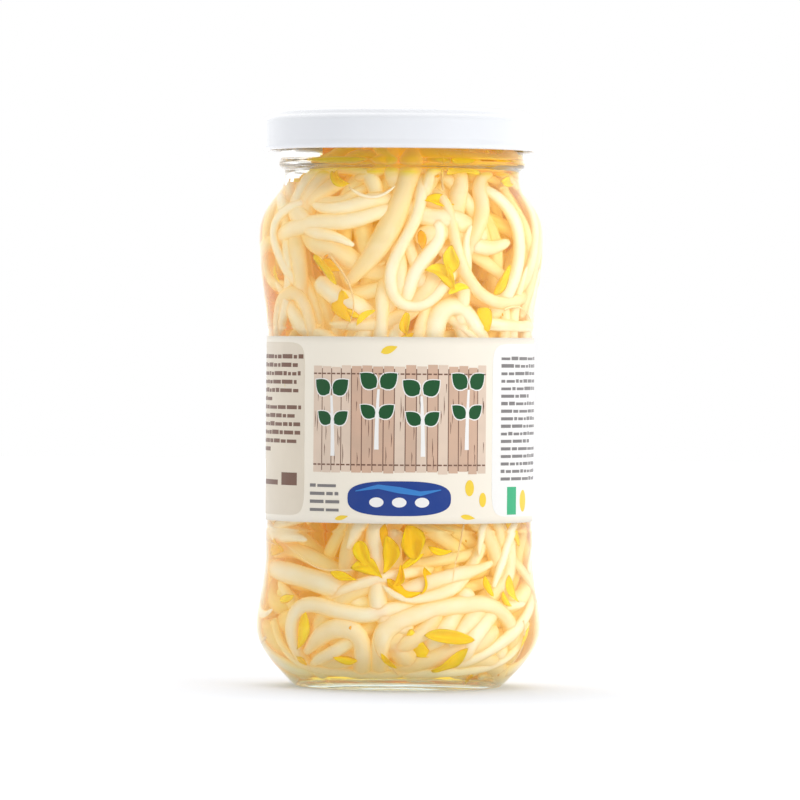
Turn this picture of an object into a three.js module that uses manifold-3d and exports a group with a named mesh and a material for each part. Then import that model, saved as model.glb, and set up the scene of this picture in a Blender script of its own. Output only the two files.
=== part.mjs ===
// A glass jar of bean sprouts in brine, closed with a twist-off lid.
// Millimetres, +Z up, origin at the centre of the jar's base; the label's front looks along -Y.
// The jar, lid, seal, label, brine, the bunch of sprouts and its seed leaves are separate solids.

import * as THREE from 'three';
import { mergeVertices } from 'three/addons/utils/BufferGeometryUtils.js';
import Module from 'manifold-3d';

const wasm = await Module();
wasm.setup();

// Driving dimensions.
const GAP = 0.3; // clearance between pieces that touch
const ROUND = 32; // facets round the jar, lid, label and brine
const CURVE_STEPS = 3; // facets along each curve of an outline

const HEEL_RADIUS = 34.15; // widest point above the base
const HEEL_HEIGHT = 14.4;
const BODY_RADIUS = 32.0; // straight part above and below the label
const LABEL_PANEL_RADIUS = 31.5; // shallow recess that the label sits in
const SHOULDER_RADIUS = 34.05; // widest point below the neck
const SHOULDER_HEIGHT = 107.8;
const NECK_RADIUS = 28.15;
const BEAD_RADIUS = 29.5; // bead under the lid
const FINISH_RADIUS = 29.1; // glass wall inside the lid
const MOUTH_RADIUS = 26.2;
const RIM_TOP = 135.4;
const STANDING_OUTER = 24.8; // flat ring that the jar stands on
const STANDING_INNER = 21.5;
const PUSH_UP = 1.5; // hollow in the middle of the base
const BORE_RADIUS = 29.7; // inside of the straight wall
const HEEL_BORE = 31.6; // inside of the wall at the heel
const SHOULDER_BORE = 31.7;
const NECK_BORE = 26.0;
const NECK_BORE_HEIGHT = 121; // where the narrow bore of the neck starts
const FLOOR_TOP = 4.6; // glass floor in the middle

const LABEL_BOTTOM = 39.7;
const LABEL_TOP = 83.6;
const LABEL_THICKNESS = 0.25;

const LID_RADIUS = 33.2;
const LID_BOTTOM = 128.0;
const LID_TOP = 137.3; // top of the raised sealing ring
const LID_SHEET = 0.5;
const CURL_RADIUS = 0.85; // rolled edge at the bottom of the skirt
const PANEL_DROP = 0.9; // the lid's top panel lies this far below its sealing ring
const BUTTON_RISE = 0.55; // of the button in the middle, above the panel
const SEAL_INNER = 27.1;
const SEAL_OUTER = 29.9;

const LUGS = 4;
const THREAD_LEAD = 6.0; // rise in one full turn
const LUG_HALF_ANGLE = THREE.MathUtils.degToRad(6.5);
const LUG_ROOT = 32.2; // radius of a lug's root, inside the skirt
const LUG_TIP = 29.75;
const LUG_HEIGHT = 0.9;
const LUG_TOP = 129.45;
const THREAD_START = THREE.MathUtils.degToRad(-5);
const THREAD_END = THREE.MathUtils.degToRad(58);
const THREAD_RADIUS = 31.05;
const THREAD_HEIGHT = 1.5;
const THREAD_ROOT_DEPTH = 0.6; // how far the thread is let into the glass

const BRINE_TOP = 130.0;
const HEAP_TOP = 134.4; // the heap of sprouts stands a little above the brine

const SEED = 27;
const SPROUTS = 30;
const SPROUT_SIDES = 5;
const SPROUT_RINGS = 7;
const SEED_LEAVES = 10;
const LEAF_HALF = new THREE.Vector3(4.2, 1.0, 2.4); // half sizes: along, through, across
const LEAF_DEPTH = 3.3;
const LEAF_SPACING = 14;
const LOWEST_SHARE = 0.12; // of the way from the floor's middle to the top's middle
const HIGHEST_SHARE = 0.88;
const CORE_DEPTH = 6.4; // the packed middle starts this far inside the wall
const ROOT_DIVE = 5.5; // the tail end of a sprout goes this much deeper, into the middle
const DIVE_SHARE = 0.2; // of its length

const COLOURS = {
  glass: 0xdfe9df,
  enamel: 0xf1f2f3,
  compound: 0xe9e4d6,
  paper: 0xf3ecdc,
  brine: 0xe0a63c,
  sprout: 0xf8eac9,
  seedLeaf: 0xf2c20a,
};

// Solids ------------------------------------------------------------------

/** A closed solid from a geometry: shared vertices merged and flat triangles dropped. */
function solid(geometry) {
  const bare = geometry.clone();
  bare.deleteAttribute('normal');
  bare.deleteAttribute('uv');
  const merged = mergeVertices(bare, 1e-4);
  const corners = merged.index.array;
  const triVerts = [];
  for (let i = 0; i < corners.length; i += 3) {
    const [a, b, c] = [corners[i], corners[i + 1], corners[i + 2]];
    if (a !== b && b !== c && c !== a) triVerts.push(a, b, c);
  }
  return new wasm.Manifold(new wasm.Mesh({
    numProp: 3,
    vertProperties: new Float32Array(merged.attributes.position.array),
    triVerts: new Uint32Array(triVerts),
  }));
}

/** The largest piece of a solid, without the loose scraps that cutting leaves. */
function largestPiece(body) {
  const pieces = body.decompose();
  pieces.sort((a, b) => b.volume() - a.volume());
  return pieces[0];
}

/** A named mesh of a solid, in its own material. */
function piece(name, body, colour, roughness, metalness = 0, opacity = 1) {
  const { vertProperties, triVerts } = body.getMesh();
  const geometry = new THREE.BufferGeometry();
  geometry.setAttribute('position', new THREE.BufferAttribute(vertProperties, 3));
  geometry.setIndex(new THREE.BufferAttribute(triVerts, 1));
  const material = new THREE.MeshStandardMaterial({ color: colour, roughness, metalness });
  material.transparent = opacity < 1;
  material.opacity = opacity;
  const mesh = new THREE.Mesh(geometry.toNonIndexed(), material);
  mesh.geometry.computeVertexNormals();
  mesh.name = name;
  return mesh;
}

/** A turned solid standing on +Z from an outline of (radius, height) points. */
function turned(outline, segments = ROUND) {
  return solid(new THREE.LatheGeometry(outline, segments).rotateX(Math.PI / 2));
}

/** A box laid along a helix round the jar, from the radius of its root to that of its edge. */
function helicalBand(band) {
  const { from, to, root, edge, bottom, height, steps, tipShare } = band;
  const geometry = new THREE.BoxGeometry(1, 1, 1, steps, 1, 1);
  const place = geometry.attributes.position;
  for (let i = 0; i < place.count; i += 1) {
    const along = 0.5 - place.getX(i);
    const angle = THREE.MathUtils.lerp(from, to, along);
    const tip = Math.min(1, Math.min(along, 1 - along) / tipShare + 0.35);
    const atEdge = place.getY(i) > 0 === edge > root;
    const radius = atEdge ? root + (edge - root) * tip : root;
    const rise = ((angle - band.origin) / (2 * Math.PI)) * THREAD_LEAD;
    const z = bottom + rise + (place.getZ(i) + 0.5) * height;
    place.setXYZ(i, radius * Math.sin(angle), -radius * Math.cos(angle), z);
  }
  return solid(geometry);
}

// Jar ---------------------------------------------------------------------

function jarOutside(path) {
  path.moveTo(0, PUSH_UP);
  path.bezierCurveTo(12, PUSH_UP, 19, 1.2, STANDING_INNER, 0);
  path.lineTo(STANDING_OUTER, 0);
  path.bezierCurveTo(27.5, 2.6, HEEL_RADIUS, 8.5, HEEL_RADIUS, HEEL_HEIGHT);
  path.bezierCurveTo(HEEL_RADIUS, 18, BODY_RADIUS, 25.5, BODY_RADIUS, 31);
  path.lineTo(BODY_RADIUS, LABEL_BOTTOM - 2.2);
  path.lineTo(LABEL_PANEL_RADIUS, LABEL_BOTTOM - 1.4);
  path.lineTo(LABEL_PANEL_RADIUS, LABEL_TOP + 1.4);
  path.lineTo(BODY_RADIUS, LABEL_TOP + 2.2);
  path.bezierCurveTo(32.2, 92, SHOULDER_RADIUS, 98, SHOULDER_RADIUS, SHOULDER_HEIGHT);
  path.bezierCurveTo(SHOULDER_RADIUS, 112, 32.3, 114.6, 29.6, 117.9);
  path.bezierCurveTo(28.7, 119.1, NECK_RADIUS, 120.3, NECK_RADIUS, 121.8);
  path.lineTo(NECK_RADIUS, 123.2);
  path.bezierCurveTo(28.3, 123.8, BEAD_RADIUS, 123.8, BEAD_RADIUS, 124.8);
  path.lineTo(FINISH_RADIUS, 126);
  path.lineTo(FINISH_RADIUS, RIM_TOP - 1);
  path.quadraticCurveTo(FINISH_RADIUS, RIM_TOP, 27.9, RIM_TOP);
}

/** The inner wall from the floor's middle up to the neck. */
function jarInside() {
  const path = new THREE.Path();
  path.moveTo(0, FLOOR_TOP);
  path.bezierCurveTo(8, FLOOR_TOP, 15, 3.2, 21, 3.6);
  path.bezierCurveTo(27.5, 4.4, HEEL_BORE, 8.5, HEEL_BORE, 15);
  path.bezierCurveTo(HEEL_BORE, 19.5, BORE_RADIUS, 26, BORE_RADIUS, 33);
  path.lineTo(BORE_RADIUS, 84);
  path.bezierCurveTo(BORE_RADIUS, 92, SHOULDER_BORE, 98, SHOULDER_BORE, SHOULDER_HEIGHT);
  path.bezierCurveTo(SHOULDER_BORE, 113.4, NECK_BORE, 117.6, NECK_BORE, NECK_BORE_HEIGHT);
  return path;
}

function glassThreads() {
  const bands = [];
  for (let i = 0; i < LUGS; i += 1) {
    const origin = (i * 2 * Math.PI) / LUGS;
    bands.push(helicalBand({
      origin,
      from: origin + THREAD_START,
      to: origin + THREAD_END,
      root: FINISH_RADIUS - THREAD_ROOT_DEPTH,
      edge: THREAD_RADIUS,
      bottom: LUG_TOP + GAP + 0.1,
      height: THREAD_HEIGHT,
      steps: 5,
      tipShare: 0.25,
    }));
  }
  return bands;
}

function glassJar() {
  const outside = new THREE.Path();
  jarOutside(outside);
  outside.lineTo(MOUTH_RADIUS, RIM_TOP - 0.9);
  const inside = jarInside().getPoints(CURVE_STEPS).reverse();
  const outline = [...outside.getPoints(CURVE_STEPS), ...inside];
  let jar = turned(outline);
  for (const band of glassThreads()) jar = jar.add(band);
  return jar;
}

// Lid ---------------------------------------------------------------------

function lidShell() {
  const skirt = LID_RADIUS - LID_SHEET;
  const curlZ = LID_BOTTOM + CURL_RADIUS;
  const path = new THREE.Path();
  path.moveTo(0, LID_TOP - PANEL_DROP - 0.25);
  path.lineTo(25, LID_TOP - PANEL_DROP - LID_SHEET);
  path.lineTo(26.6, LID_TOP - 0.65 - LID_SHEET);
  path.lineTo(30, LID_TOP - LID_SHEET);
  path.lineTo(31.3, LID_TOP - 1.1 - LID_SHEET);
  path.quadraticCurveTo(skirt, LID_TOP - 1.6 - LID_SHEET, skirt, LID_TOP - 3);
  path.lineTo(skirt, curlZ + CURL_RADIUS + 0.1);
  path.absarc(LID_RADIUS - CURL_RADIUS, curlZ, CURL_RADIUS, Math.PI * 0.5, Math.PI * 2, false);
  path.lineTo(LID_RADIUS, LID_TOP - 2.6);
  path.quadraticCurveTo(LID_RADIUS, LID_TOP - 1.5, 31.7, LID_TOP - 1.1);
  path.quadraticCurveTo(30.8, LID_TOP - 0.1, 29.6, LID_TOP);
  path.lineTo(27.5, LID_TOP);
  path.lineTo(26.3, LID_TOP - 0.65);
  path.lineTo(25, LID_TOP - PANEL_DROP);
  path.lineTo(11.5, LID_TOP - PANEL_DROP + 0.05);
  path.lineTo(9.5, LID_TOP - PANEL_DROP + 0.5);
  path.lineTo(0, LID_TOP - PANEL_DROP + BUTTON_RISE);
  return turned(path.getPoints(CURVE_STEPS));
}

function lid() {
  let shell = lidShell();
  for (let i = 0; i < LUGS; i += 1) {
    const origin = (i * 2 * Math.PI) / LUGS;
    shell = shell.add(helicalBand({
      origin,
      from: origin - LUG_HALF_ANGLE,
      to: origin + LUG_HALF_ANGLE,
      root: LUG_ROOT,
      edge: LUG_TIP,
      bottom: LUG_TOP - 1.0,
      height: LUG_HEIGHT,
      steps: 2,
      tipShare: 0.3,
    }));
  }
  return shell;
}

function lidSeal() {
  const top = LID_TOP - LID_SHEET - GAP;
  return turned([
    new THREE.Vector2(SEAL_INNER, RIM_TOP + GAP),
    new THREE.Vector2(SEAL_OUTER, RIM_TOP + GAP),
    new THREE.Vector2(SEAL_OUTER, top - 0.15),
    new THREE.Vector2(29.3, top),
    new THREE.Vector2(28.0, top - 0.15),
    new THREE.Vector2(SEAL_INNER, top - 0.4),
    new THREE.Vector2(SEAL_INNER, RIM_TOP + GAP),
  ]);
}

function label() {
  const inner = LABEL_PANEL_RADIUS + GAP;
  const outer = inner + LABEL_THICKNESS;
  return turned([
    new THREE.Vector2(inner, LABEL_BOTTOM),
    new THREE.Vector2(outer, LABEL_BOTTOM),
    new THREE.Vector2(outer, LABEL_TOP),
    new THREE.Vector2(inner, LABEL_TOP),
    new THREE.Vector2(inner, LABEL_BOTTOM),
  ]);
}

// Sprouts -----------------------------------------------------------------

/** A repeatable random source, from 0 to 1. */
function randomSource(seed) {
  let state = seed;
  return () => {
    state = (state + 0x6d2b79f5) | 0;
    let mixed = Math.imul(state ^ (state >>> 15), 1 | state);
    mixed = (mixed + Math.imul(mixed ^ (mixed >>> 7), 61 | mixed)) ^ mixed;
    return ((mixed ^ (mixed >>> 14)) >>> 0) / 4294967296;
  };
}

/** The surface that the sprouts lie against: floor, wall and neck, and the heap under the lid. */
function packingOutline() {
  const path = jarInside();
  path.bezierCurveTo(NECK_BORE, 130.5, 17, HEAP_TOP, 0, HEAP_TOP);
  return path;
}

const packing = packingOutline();
const packingLength = packing.getLength();

/** A point on the packing outline, moved in from it by a depth. */
function packedPoint(share, depth) {
  const at = packing.getPointAt(share);
  const along = packing.getTangentAt(share);
  return new THREE.Vector2(Math.max(at.x - along.y * depth, 0), at.y + along.x * depth);
}

/** Shares of the outline that spread pieces evenly over the turned surface. */
function evenShares(count) {
  const samples = 200;
  const sums = [0];
  for (let i = 1; i <= samples; i += 1) {
    sums.push(sums[i - 1] + packing.getPointAt((i - 0.5) / samples).x);
  }
  const shares = [];
  for (let i = 0; i < count; i += 1) {
    const wanted = ((i + 0.5) / count) * sums[samples];
    const above = sums.findIndex((sum) => sum > wanted);
    shares.push(above / samples);
  }
  return shares;
}

/** A turn that leads a sprout away from the two ends of the packing outline. */
function turnBack(share, heading) {
  const climbing = Math.sin(heading);
  const leaving = (share > HIGHEST_SHARE && climbing > 0) || (share < LOWEST_SHARE && climbing < 0);
  if (!leaving) return 0;
  return Math.sign(Math.cos(heading)) * Math.sign(climbing) * -1.3;
}

/** A point of the packing surface at a depth, with the directions out of it and up along it. */
function packedPlace(share, angle, depth) {
  const at = packedPoint(share, depth);
  const along = packing.getTangentAt(THREE.MathUtils.clamp(share, 0, 1));
  const turn = (x, z) => new THREE.Vector3(x * Math.sin(angle), -x * Math.cos(angle), z);
  return { point: turn(at.x, at.y), out: turn(along.y, -along.x), up: turn(along.x, along.y) };
}

/** One step over the packing surface, from a place that has a share, an angle and a heading. */
function stepOn(place, stride) {
  const radius = Math.max(packedPoint(place.share, 0).x, 6);
  place.share += (Math.sin(place.heading) * stride) / packingLength;
  place.angle += (Math.cos(place.heading) * stride) / radius;
}

/** The middle line of a sprout that winds over the packing surface and hooks at its head. */
function sproutLine(share, angle, radius, random) {
  const length = 38 + 26 * random();
  const depth = radius + 1.0 + 0.7 * random();
  const steps = 12;
  const stride = length / steps;
  const bend = (random() - 0.5) * 0.1;
  const hook = (random() < 0.5 ? -1 : 1) * (0.04 + 0.1 * random());
  const place = { share, angle, heading: random() * 2 * Math.PI };
  const points = [];
  for (let i = 0; i <= steps; i += 1) {
    const dive = ROOT_DIVE * Math.max(0, 1 - i / steps / DIVE_SHARE);
    points.push(packedPlace(place.share, place.angle, depth + dive).point);
    const curl = (bend + hook * (i / steps) ** 3) * stride;
    place.heading += turnBack(place.share, place.heading) || curl;
    if (i < steps) stepOn(place, stride);
  }
  return { line: new THREE.CatmullRomCurve3(points), head: place };
}

/** A turned sprout, root tip to head, bent along its line. */
function sprout(line, radius, extra = 0) {
  const length = line.getLength();
  const outline = [new THREE.Vector2(0, -extra / length)];
  for (let i = 0; i < SPROUT_RINGS; i += 1) {
    const t = i / (SPROUT_RINGS - 1);
    const taper = 0.45 + 0.55 * Math.min(1, t * 4) + 0.12 * t ** 4;
    outline.push(new THREE.Vector2(radius * taper + extra, t));
  }
  outline.push(new THREE.Vector2(0, 1 + (radius * 0.7 + extra) / length));
  const frames = line.computeFrenetFrames(SPROUT_RINGS - 1, false);
  const geometry = new THREE.LatheGeometry(outline, SPROUT_SIDES);
  const place = geometry.attributes.position;
  const spot = new THREE.Vector3();
  for (let i = 0; i < place.count; i += 1) {
    const t = place.getY(i);
    const ring = Math.round(THREE.MathUtils.clamp(t, 0, 1) * (SPROUT_RINGS - 1));
    const beyond = (t - ring / (SPROUT_RINGS - 1)) * length;
    line.getPointAt(ring / (SPROUT_RINGS - 1), spot);
    spot.addScaledVector(frames.tangents[ring], beyond);
    spot.addScaledVector(frames.normals[ring], place.getX(i));
    spot.addScaledVector(frames.binormals[ring], -place.getZ(i));
    place.setXYZ(i, spot.x, spot.y, spot.z);
  }
  return solid(geometry);
}

/** Lines and radii of the sprouts that show at the wall, floor and top. */
function sproutPlan() {
  const random = randomSource(SEED);
  const golden = Math.PI * (3 - Math.sqrt(5));
  return evenShares(SPROUTS).map((share, i) => {
    const radius = 1.75 + 0.45 * random();
    return { radius, ...sproutLine(share, i * golden, radius, random) };
  });
}

/** The packed middle of the bunch. */
function core(extra = 0) {
  const points = [];
  const steps = 10;
  for (let i = 0; i <= steps; i += 1) points.push(packedPoint(i / steps, CORE_DEPTH - extra));
  points[0].x = 0;
  points[steps].x = 0;
  return turned(points, 12);
}

/** A seed leaf just beyond a sprout's head: half a bean, lying along the wall. */
function seedLeaf(plan, extra = 0) {
  const { share, angle, heading } = plan.head;
  const { point, out, up } = packedPlace(share, angle, LEAF_DEPTH);
  const round = new THREE.Vector3().crossVectors(up, out);
  const ahead = round.multiplyScalar(Math.cos(heading)).addScaledVector(up, Math.sin(heading));
  const across = new THREE.Vector3().crossVectors(ahead, out);
  const geometry = new THREE.SphereGeometry(1, 6, 4);
  geometry.scale(LEAF_HALF.x + extra, LEAF_HALF.y + extra, LEAF_HALF.z + extra);
  const axes = new THREE.Matrix4().makeBasis(ahead, out, across);
  axes.setPosition(point.addScaledVector(ahead, LEAF_HALF.x * 0.75));
  return solid(geometry.applyMatrix4(axes));
}

// Contents ----------------------------------------------------------------

function brineBody() {
  const outline = jarInside().getPoints(CURVE_STEPS).map((p) => p.clone());
  const inset = outline.map((p, i) => {
    const before = outline[Math.max(i - 1, 0)];
    const after = outline[Math.min(i + 1, outline.length - 1)];
    const along = after.clone().sub(before).normalize();
    return new THREE.Vector2(Math.max(p.x - along.y * GAP, 0), p.y + along.x * GAP);
  });
  inset[0].x = 0;
  inset.push(new THREE.Vector2(NECK_BORE - GAP, BRINE_TOP));
  inset.push(new THREE.Vector2(0, BRINE_TOP));
  return turned(inset);
}

/** The sprouts that still carry a seed leaf: every other one, where no other leaf is near. */
function leafBearers(plans) {
  const kept = [];
  for (let i = 1; i < plans.length && kept.length < SEED_LEAVES; i += 2) {
    const head = plans[i].line.getPointAt(1);
    const near = kept.some((plan) => plan.line.getPointAt(1).distanceTo(head) < LEAF_SPACING);
    if (!near) kept.push(plans[i]);
  }
  return kept;
}

const plans = sproutPlan();
const leafPlans = leafBearers(plans);

let bunch = core();
let brine = brineBody().subtract(core(GAP));
for (const plan of plans) {
  bunch = bunch.add(sprout(plan.line, plan.radius));
  brine = brine.subtract(sprout(plan.line, plan.radius, GAP));
}
for (const plan of leafPlans) {
  const pocket = seedLeaf(plan, GAP + 0.05);
  bunch = bunch.subtract(pocket);
  brine = brine.subtract(pocket);
}

const jarOfSprouts = new THREE.Group();
jarOfSprouts.add(piece('glass_jar', glassJar(), COLOURS.glass, 0.05, 0, 0.35));
jarOfSprouts.add(piece('lid', lid(), COLOURS.enamel, 0.3, 0.1));
jarOfSprouts.add(piece('lid_seal', lidSeal(), COLOURS.compound, 0.7));
jarOfSprouts.add(piece('label', label(), COLOURS.paper, 0.75));
jarOfSprouts.add(piece('brine', largestPiece(brine), COLOURS.brine, 0.1, 0, 0.5));
jarOfSprouts.add(piece('sprout_bunch', largestPiece(bunch), COLOURS.sprout, 0.45));
leafPlans.forEach((plan, i) => {
  const name = `seed_leaf_${String(i + 1).padStart(2, '0')}`;
  jarOfSprouts.add(piece(name, seedLeaf(plan), COLOURS.seedLeaf, 0.5));
});

export default jarOfSprouts;
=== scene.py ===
"""Dresses the solid jar of bean sprouts: glass, lid, label, brine and the tangle inside.

Blender units are metres; the sizes below are millimetres and are turned into metres as each mesh is made.
+Z is up, the jar's axis is the Z axis, and the label's front faces -Y."""
import itertools
import math

import bmesh
import bpy
import numpy as np
from mathutils import Matrix, Vector


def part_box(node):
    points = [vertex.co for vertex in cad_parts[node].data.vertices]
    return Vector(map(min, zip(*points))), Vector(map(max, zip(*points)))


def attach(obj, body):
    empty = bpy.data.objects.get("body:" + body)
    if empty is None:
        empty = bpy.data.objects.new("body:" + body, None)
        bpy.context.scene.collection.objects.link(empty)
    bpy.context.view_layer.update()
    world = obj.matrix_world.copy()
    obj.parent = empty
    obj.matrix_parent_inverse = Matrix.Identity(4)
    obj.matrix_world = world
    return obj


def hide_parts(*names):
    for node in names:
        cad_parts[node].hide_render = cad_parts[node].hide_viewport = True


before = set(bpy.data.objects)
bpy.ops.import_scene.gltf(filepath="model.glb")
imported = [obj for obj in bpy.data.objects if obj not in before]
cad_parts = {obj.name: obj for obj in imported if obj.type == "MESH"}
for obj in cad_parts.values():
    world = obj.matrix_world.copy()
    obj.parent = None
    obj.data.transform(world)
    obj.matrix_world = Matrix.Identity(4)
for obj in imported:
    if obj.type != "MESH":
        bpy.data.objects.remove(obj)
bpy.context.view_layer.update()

MM = 0.001
GLASS_AROUND = 240  # faces round the jar and brine, fine enough for the edge of the air
LID_AROUND = 160
SEAL_AROUND = 128

# Glass, as in the solids.
HEEL_RADIUS = 34.15
HEEL_HEIGHT = 14.4
HEEL_BORE = 31.6
BODY_RADIUS = 32.0
SHOULDER_RADIUS = 34.05
SHOULDER_HEIGHT = 107.8
SHOULDER_BORE = 31.7
NECK_RADIUS = 28.15
BEAD_RADIUS = 29.5
FINISH_RADIUS = 29.1
MOUTH_RADIUS = 26.2
RIM_TOP = 135.4
STANDING_OUTER = 24.8
STANDING_INNER = 21.5
PUSH_UP = 1.5
BORE_RADIUS = 29.7
NECK_BORE = 26.0
NECK_BORE_HEIGHT = 121
FLOOR_TOP = 4.6
THREAD_WALL = 126.8  # where the wall that carries the threads starts,
THREAD_ROW = 0.3  # and from one row of its points to the next
THREAD_RADIUS = 31.05
THREAD_LEAD = 6.0
THREADS = 4
LUG_TOP = 129.45

# Lid, seal and label.
LID_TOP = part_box("lid")[1].z / MM
LID_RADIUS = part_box("lid")[1].x / MM
LID_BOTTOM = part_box("lid")[0].z / MM
LID_SHEET = 0.5
CURL_RADIUS = 0.85
LUG_HALF_ANGLE = 8.5
LUG_TIP = 29.8
LABEL_BOTTOM, LABEL_TOP = (corner.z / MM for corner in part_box("label"))
LABEL_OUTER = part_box("label")[1].x / MM
LABEL_LAP = 6.0  # overlap at the back
LABEL_INNER = LABEL_OUTER - 0.25
PANEL_RADIUS = LABEL_INNER - 0.08  # shallow recess that the label sits in

# Contents.
BRINE_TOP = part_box("brine")[1].z / MM
HEAP_TOP = 134.4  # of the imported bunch


# Outlines ----------------------------------------------------------------


def bend(start, toward, leaving, end, steps=10):
    """Points of a cubic curve from start to end, without its first point."""
    t = np.linspace(0, 1, steps + 1)[1:, None]
    a, b, c, d = (np.array(p, float) for p in (start, toward, leaving, end))
    return list((1 - t) ** 3 * a + 3 * (1 - t) ** 2 * t * b + 3 * (1 - t) * t**2 * c + t**3 * d)


def outline(start, *legs, steps=10):
    """An outline of (radius, height) points; a leg is an end point, or a curve's two handles and end."""
    points = [np.array(start, float)]
    for leg in legs:
        if len(leg) == 2:
            points.append(np.array(leg, float))
        else:
            points += bend(points[-1], leg[0:2], leg[2:4], leg[4:6], steps)
    return np.array(points)


def glass_outside():
    return outline(
        (0, PUSH_UP),
        (12, PUSH_UP, 19, 1.2, STANDING_INNER, 0),
        (STANDING_OUTER - 0.6, 0),
        (STANDING_OUTER - 0.2, 0, STANDING_OUTER, 0.1, STANDING_OUTER + 0.3, 0.4),
        (27.5, 2.9, HEEL_RADIUS, 8.5, HEEL_RADIUS, HEEL_HEIGHT),
        (HEEL_RADIUS, 18, BODY_RADIUS, 25.5, BODY_RADIUS, 31),
        (BODY_RADIUS, LABEL_BOTTOM - 2.6),
        (BODY_RADIUS, LABEL_BOTTOM - 2.0, PANEL_RADIUS, LABEL_BOTTOM - 2.0, PANEL_RADIUS, LABEL_BOTTOM - 1.2),
        (PANEL_RADIUS, LABEL_TOP + 1.2),
        (PANEL_RADIUS, LABEL_TOP + 2.0, BODY_RADIUS, LABEL_TOP + 2.0, BODY_RADIUS, LABEL_TOP + 2.6),
        (32.2, 92, SHOULDER_RADIUS, 98, SHOULDER_RADIUS, SHOULDER_HEIGHT),
        (SHOULDER_RADIUS, 112, 32.3, 114.6, 29.6, 117.9),
        (28.7, 119.1, NECK_RADIUS, 120.3, NECK_RADIUS, 121.8),
        (NECK_RADIUS, 123.2),
        (28.3, 123.8, BEAD_RADIUS, 123.8, BEAD_RADIUS, 124.8),
        (BEAD_RADIUS, 125.5, FINISH_RADIUS, 125.5, FINISH_RADIUS, 126.2),
    )


def thread_wall():
    """The glass wall inside the lid, fine enough to carry the threads."""
    return [(FINISH_RADIUS, z) for z in np.arange(THREAD_WALL, RIM_TOP - 1, THREAD_ROW)]


def glass_rim():
    return outline(
        (FINISH_RADIUS, RIM_TOP - 1),
        (FINISH_RADIUS, RIM_TOP - 0.4, 28.6, RIM_TOP, 27.9, RIM_TOP),
        (27.0, RIM_TOP, MOUTH_RADIUS, RIM_TOP - 0.3, MOUTH_RADIUS, RIM_TOP - 1.1),
    )


def inner_wall(steps=10):
    """The inside of the glass from the middle of the floor up to the neck."""
    return outline(
        (0, FLOOR_TOP),
        (8, FLOOR_TOP, 15, 3.2, 21, 3.6),
        (27.5, 4.4, HEEL_BORE, 8.5, HEEL_BORE, 15),
        (HEEL_BORE, 19.5, BORE_RADIUS, 26, BORE_RADIUS, 33),
        (BORE_RADIUS, 84),
        (BORE_RADIUS, 92, SHOULDER_BORE, 98, SHOULDER_BORE, SHOULDER_HEIGHT),
        (SHOULDER_BORE, 113.4, NECK_BORE, 117.6, NECK_BORE, NECK_BORE_HEIGHT),
        steps=steps,
    )


def neck_wall():
    """The straight inside of the neck, fine enough for the edge of the air."""
    return [(NECK_BORE, z) for z in np.arange(121.5, BRINE_TOP, 0.45)]


# Meshes ------------------------------------------------------------------


def into_scene(name, data):
    """An object of its data, linked to the scene."""
    made = bpy.data.objects.new(name, data)
    bpy.context.scene.collection.objects.link(made)
    return made


def made_mesh(name, points, faces, materials, face_slots=None):
    """A smooth mesh object from points in millimetres."""
    mesh = bpy.data.meshes.new(name)
    mesh.from_pydata((np.asarray(points, float) * MM).tolist(), [], faces)
    for material in materials:
        mesh.materials.append(material)
    if face_slots is not None:
        mesh.polygons.foreach_set("material_index", np.asarray(face_slots, np.int32))
    mesh.polygons.foreach_set("use_smooth", np.ones(len(mesh.polygons), bool))
    mesh.update()
    return into_scene(name, mesh)


def placed(made, body, slot, *nodes):
    """The piece rides on a body and stands for the solids named; its slot is not used."""
    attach(made, body)
    if nodes:
        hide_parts(*nodes)
    return made


def turned(profile, around, moved=None):
    """Points and faces of a profile of (radius, height) turned about Z, and each face's row; moved may
    change the radii."""
    angles = np.arange(around) * 2 * math.pi / around
    points, rings, faces, rows = [], [], [], []
    for radius, height in profile:
        if radius < 1e-6:
            rings.append([len(points)])
            points.append((0, 0, height))
            continue
        rings.append(list(range(len(points), len(points) + around)))
        radii = np.full(around, radius) if moved is None else moved(radius, height, angles)
        points += zip(radii * np.sin(angles), -radii * np.cos(angles), np.full(around, height))
    for row, (low, high) in enumerate(zip(rings, rings[1:])):
        for j in range(around):
            k = (j + 1) % around
            corners = [low[j % len(low)], low[k % len(low)], high[k % len(high)], high[j % len(high)]]
            faces.append(list(dict.fromkeys(corners)))
            rows.append(row)
    return points, faces, np.array(rows)


def unit(ways):
    """A way, or each of a row of ways, at length one."""
    size = np.linalg.norm(ways) if ways.ndim == 1 else np.maximum(np.linalg.norm(ways, axis=1), 1e-6)[:, None]
    return ways / size


def leaning(degrees):
    """The cosine and the sine of a lean."""
    return math.cos(math.radians(degrees)), math.sin(math.radians(degrees))


def two_skins(across, up):
    """Faces of two grids of points, one behind the other, that look opposite ways."""
    faces = []
    count = across * up
    for i in range(across - 1):
        for j in range(up - 1):
            a = i * up + j
            faces.append((a, a + up, a + up + 1, a + 1))
            faces.append((count + a, count + a + 1, count + a + up + 1, count + a + up))
    return faces


# Materials ---------------------------------------------------------------


WHITE = (1, 1, 1, 1)
BLACK = (0, 0, 0, 1)


def fed(tree, node, inputs):
    """Gives a node its inputs, as values or as the sockets that feed them."""
    for name, value in inputs.items():
        if isinstance(value, bpy.types.NodeSocket):
            tree.links.new(value, node.inputs[name])
        else:
            node.inputs[name].default_value = value
    return node


def add_node(tree, kind, inputs=None, **settings):
    """A node with its settings and its inputs."""
    node = tree.nodes.new(kind)
    for name, value in settings.items():
        setattr(node, name, value)
    return fed(tree, node, inputs or {})


def reckoned(tree, operation, first, second):
    """The result of a Math node on two values or sockets."""
    return add_node(tree, "ShaderNodeMath", {0: first, 1: second}, operation=operation).outputs[0]


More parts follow.
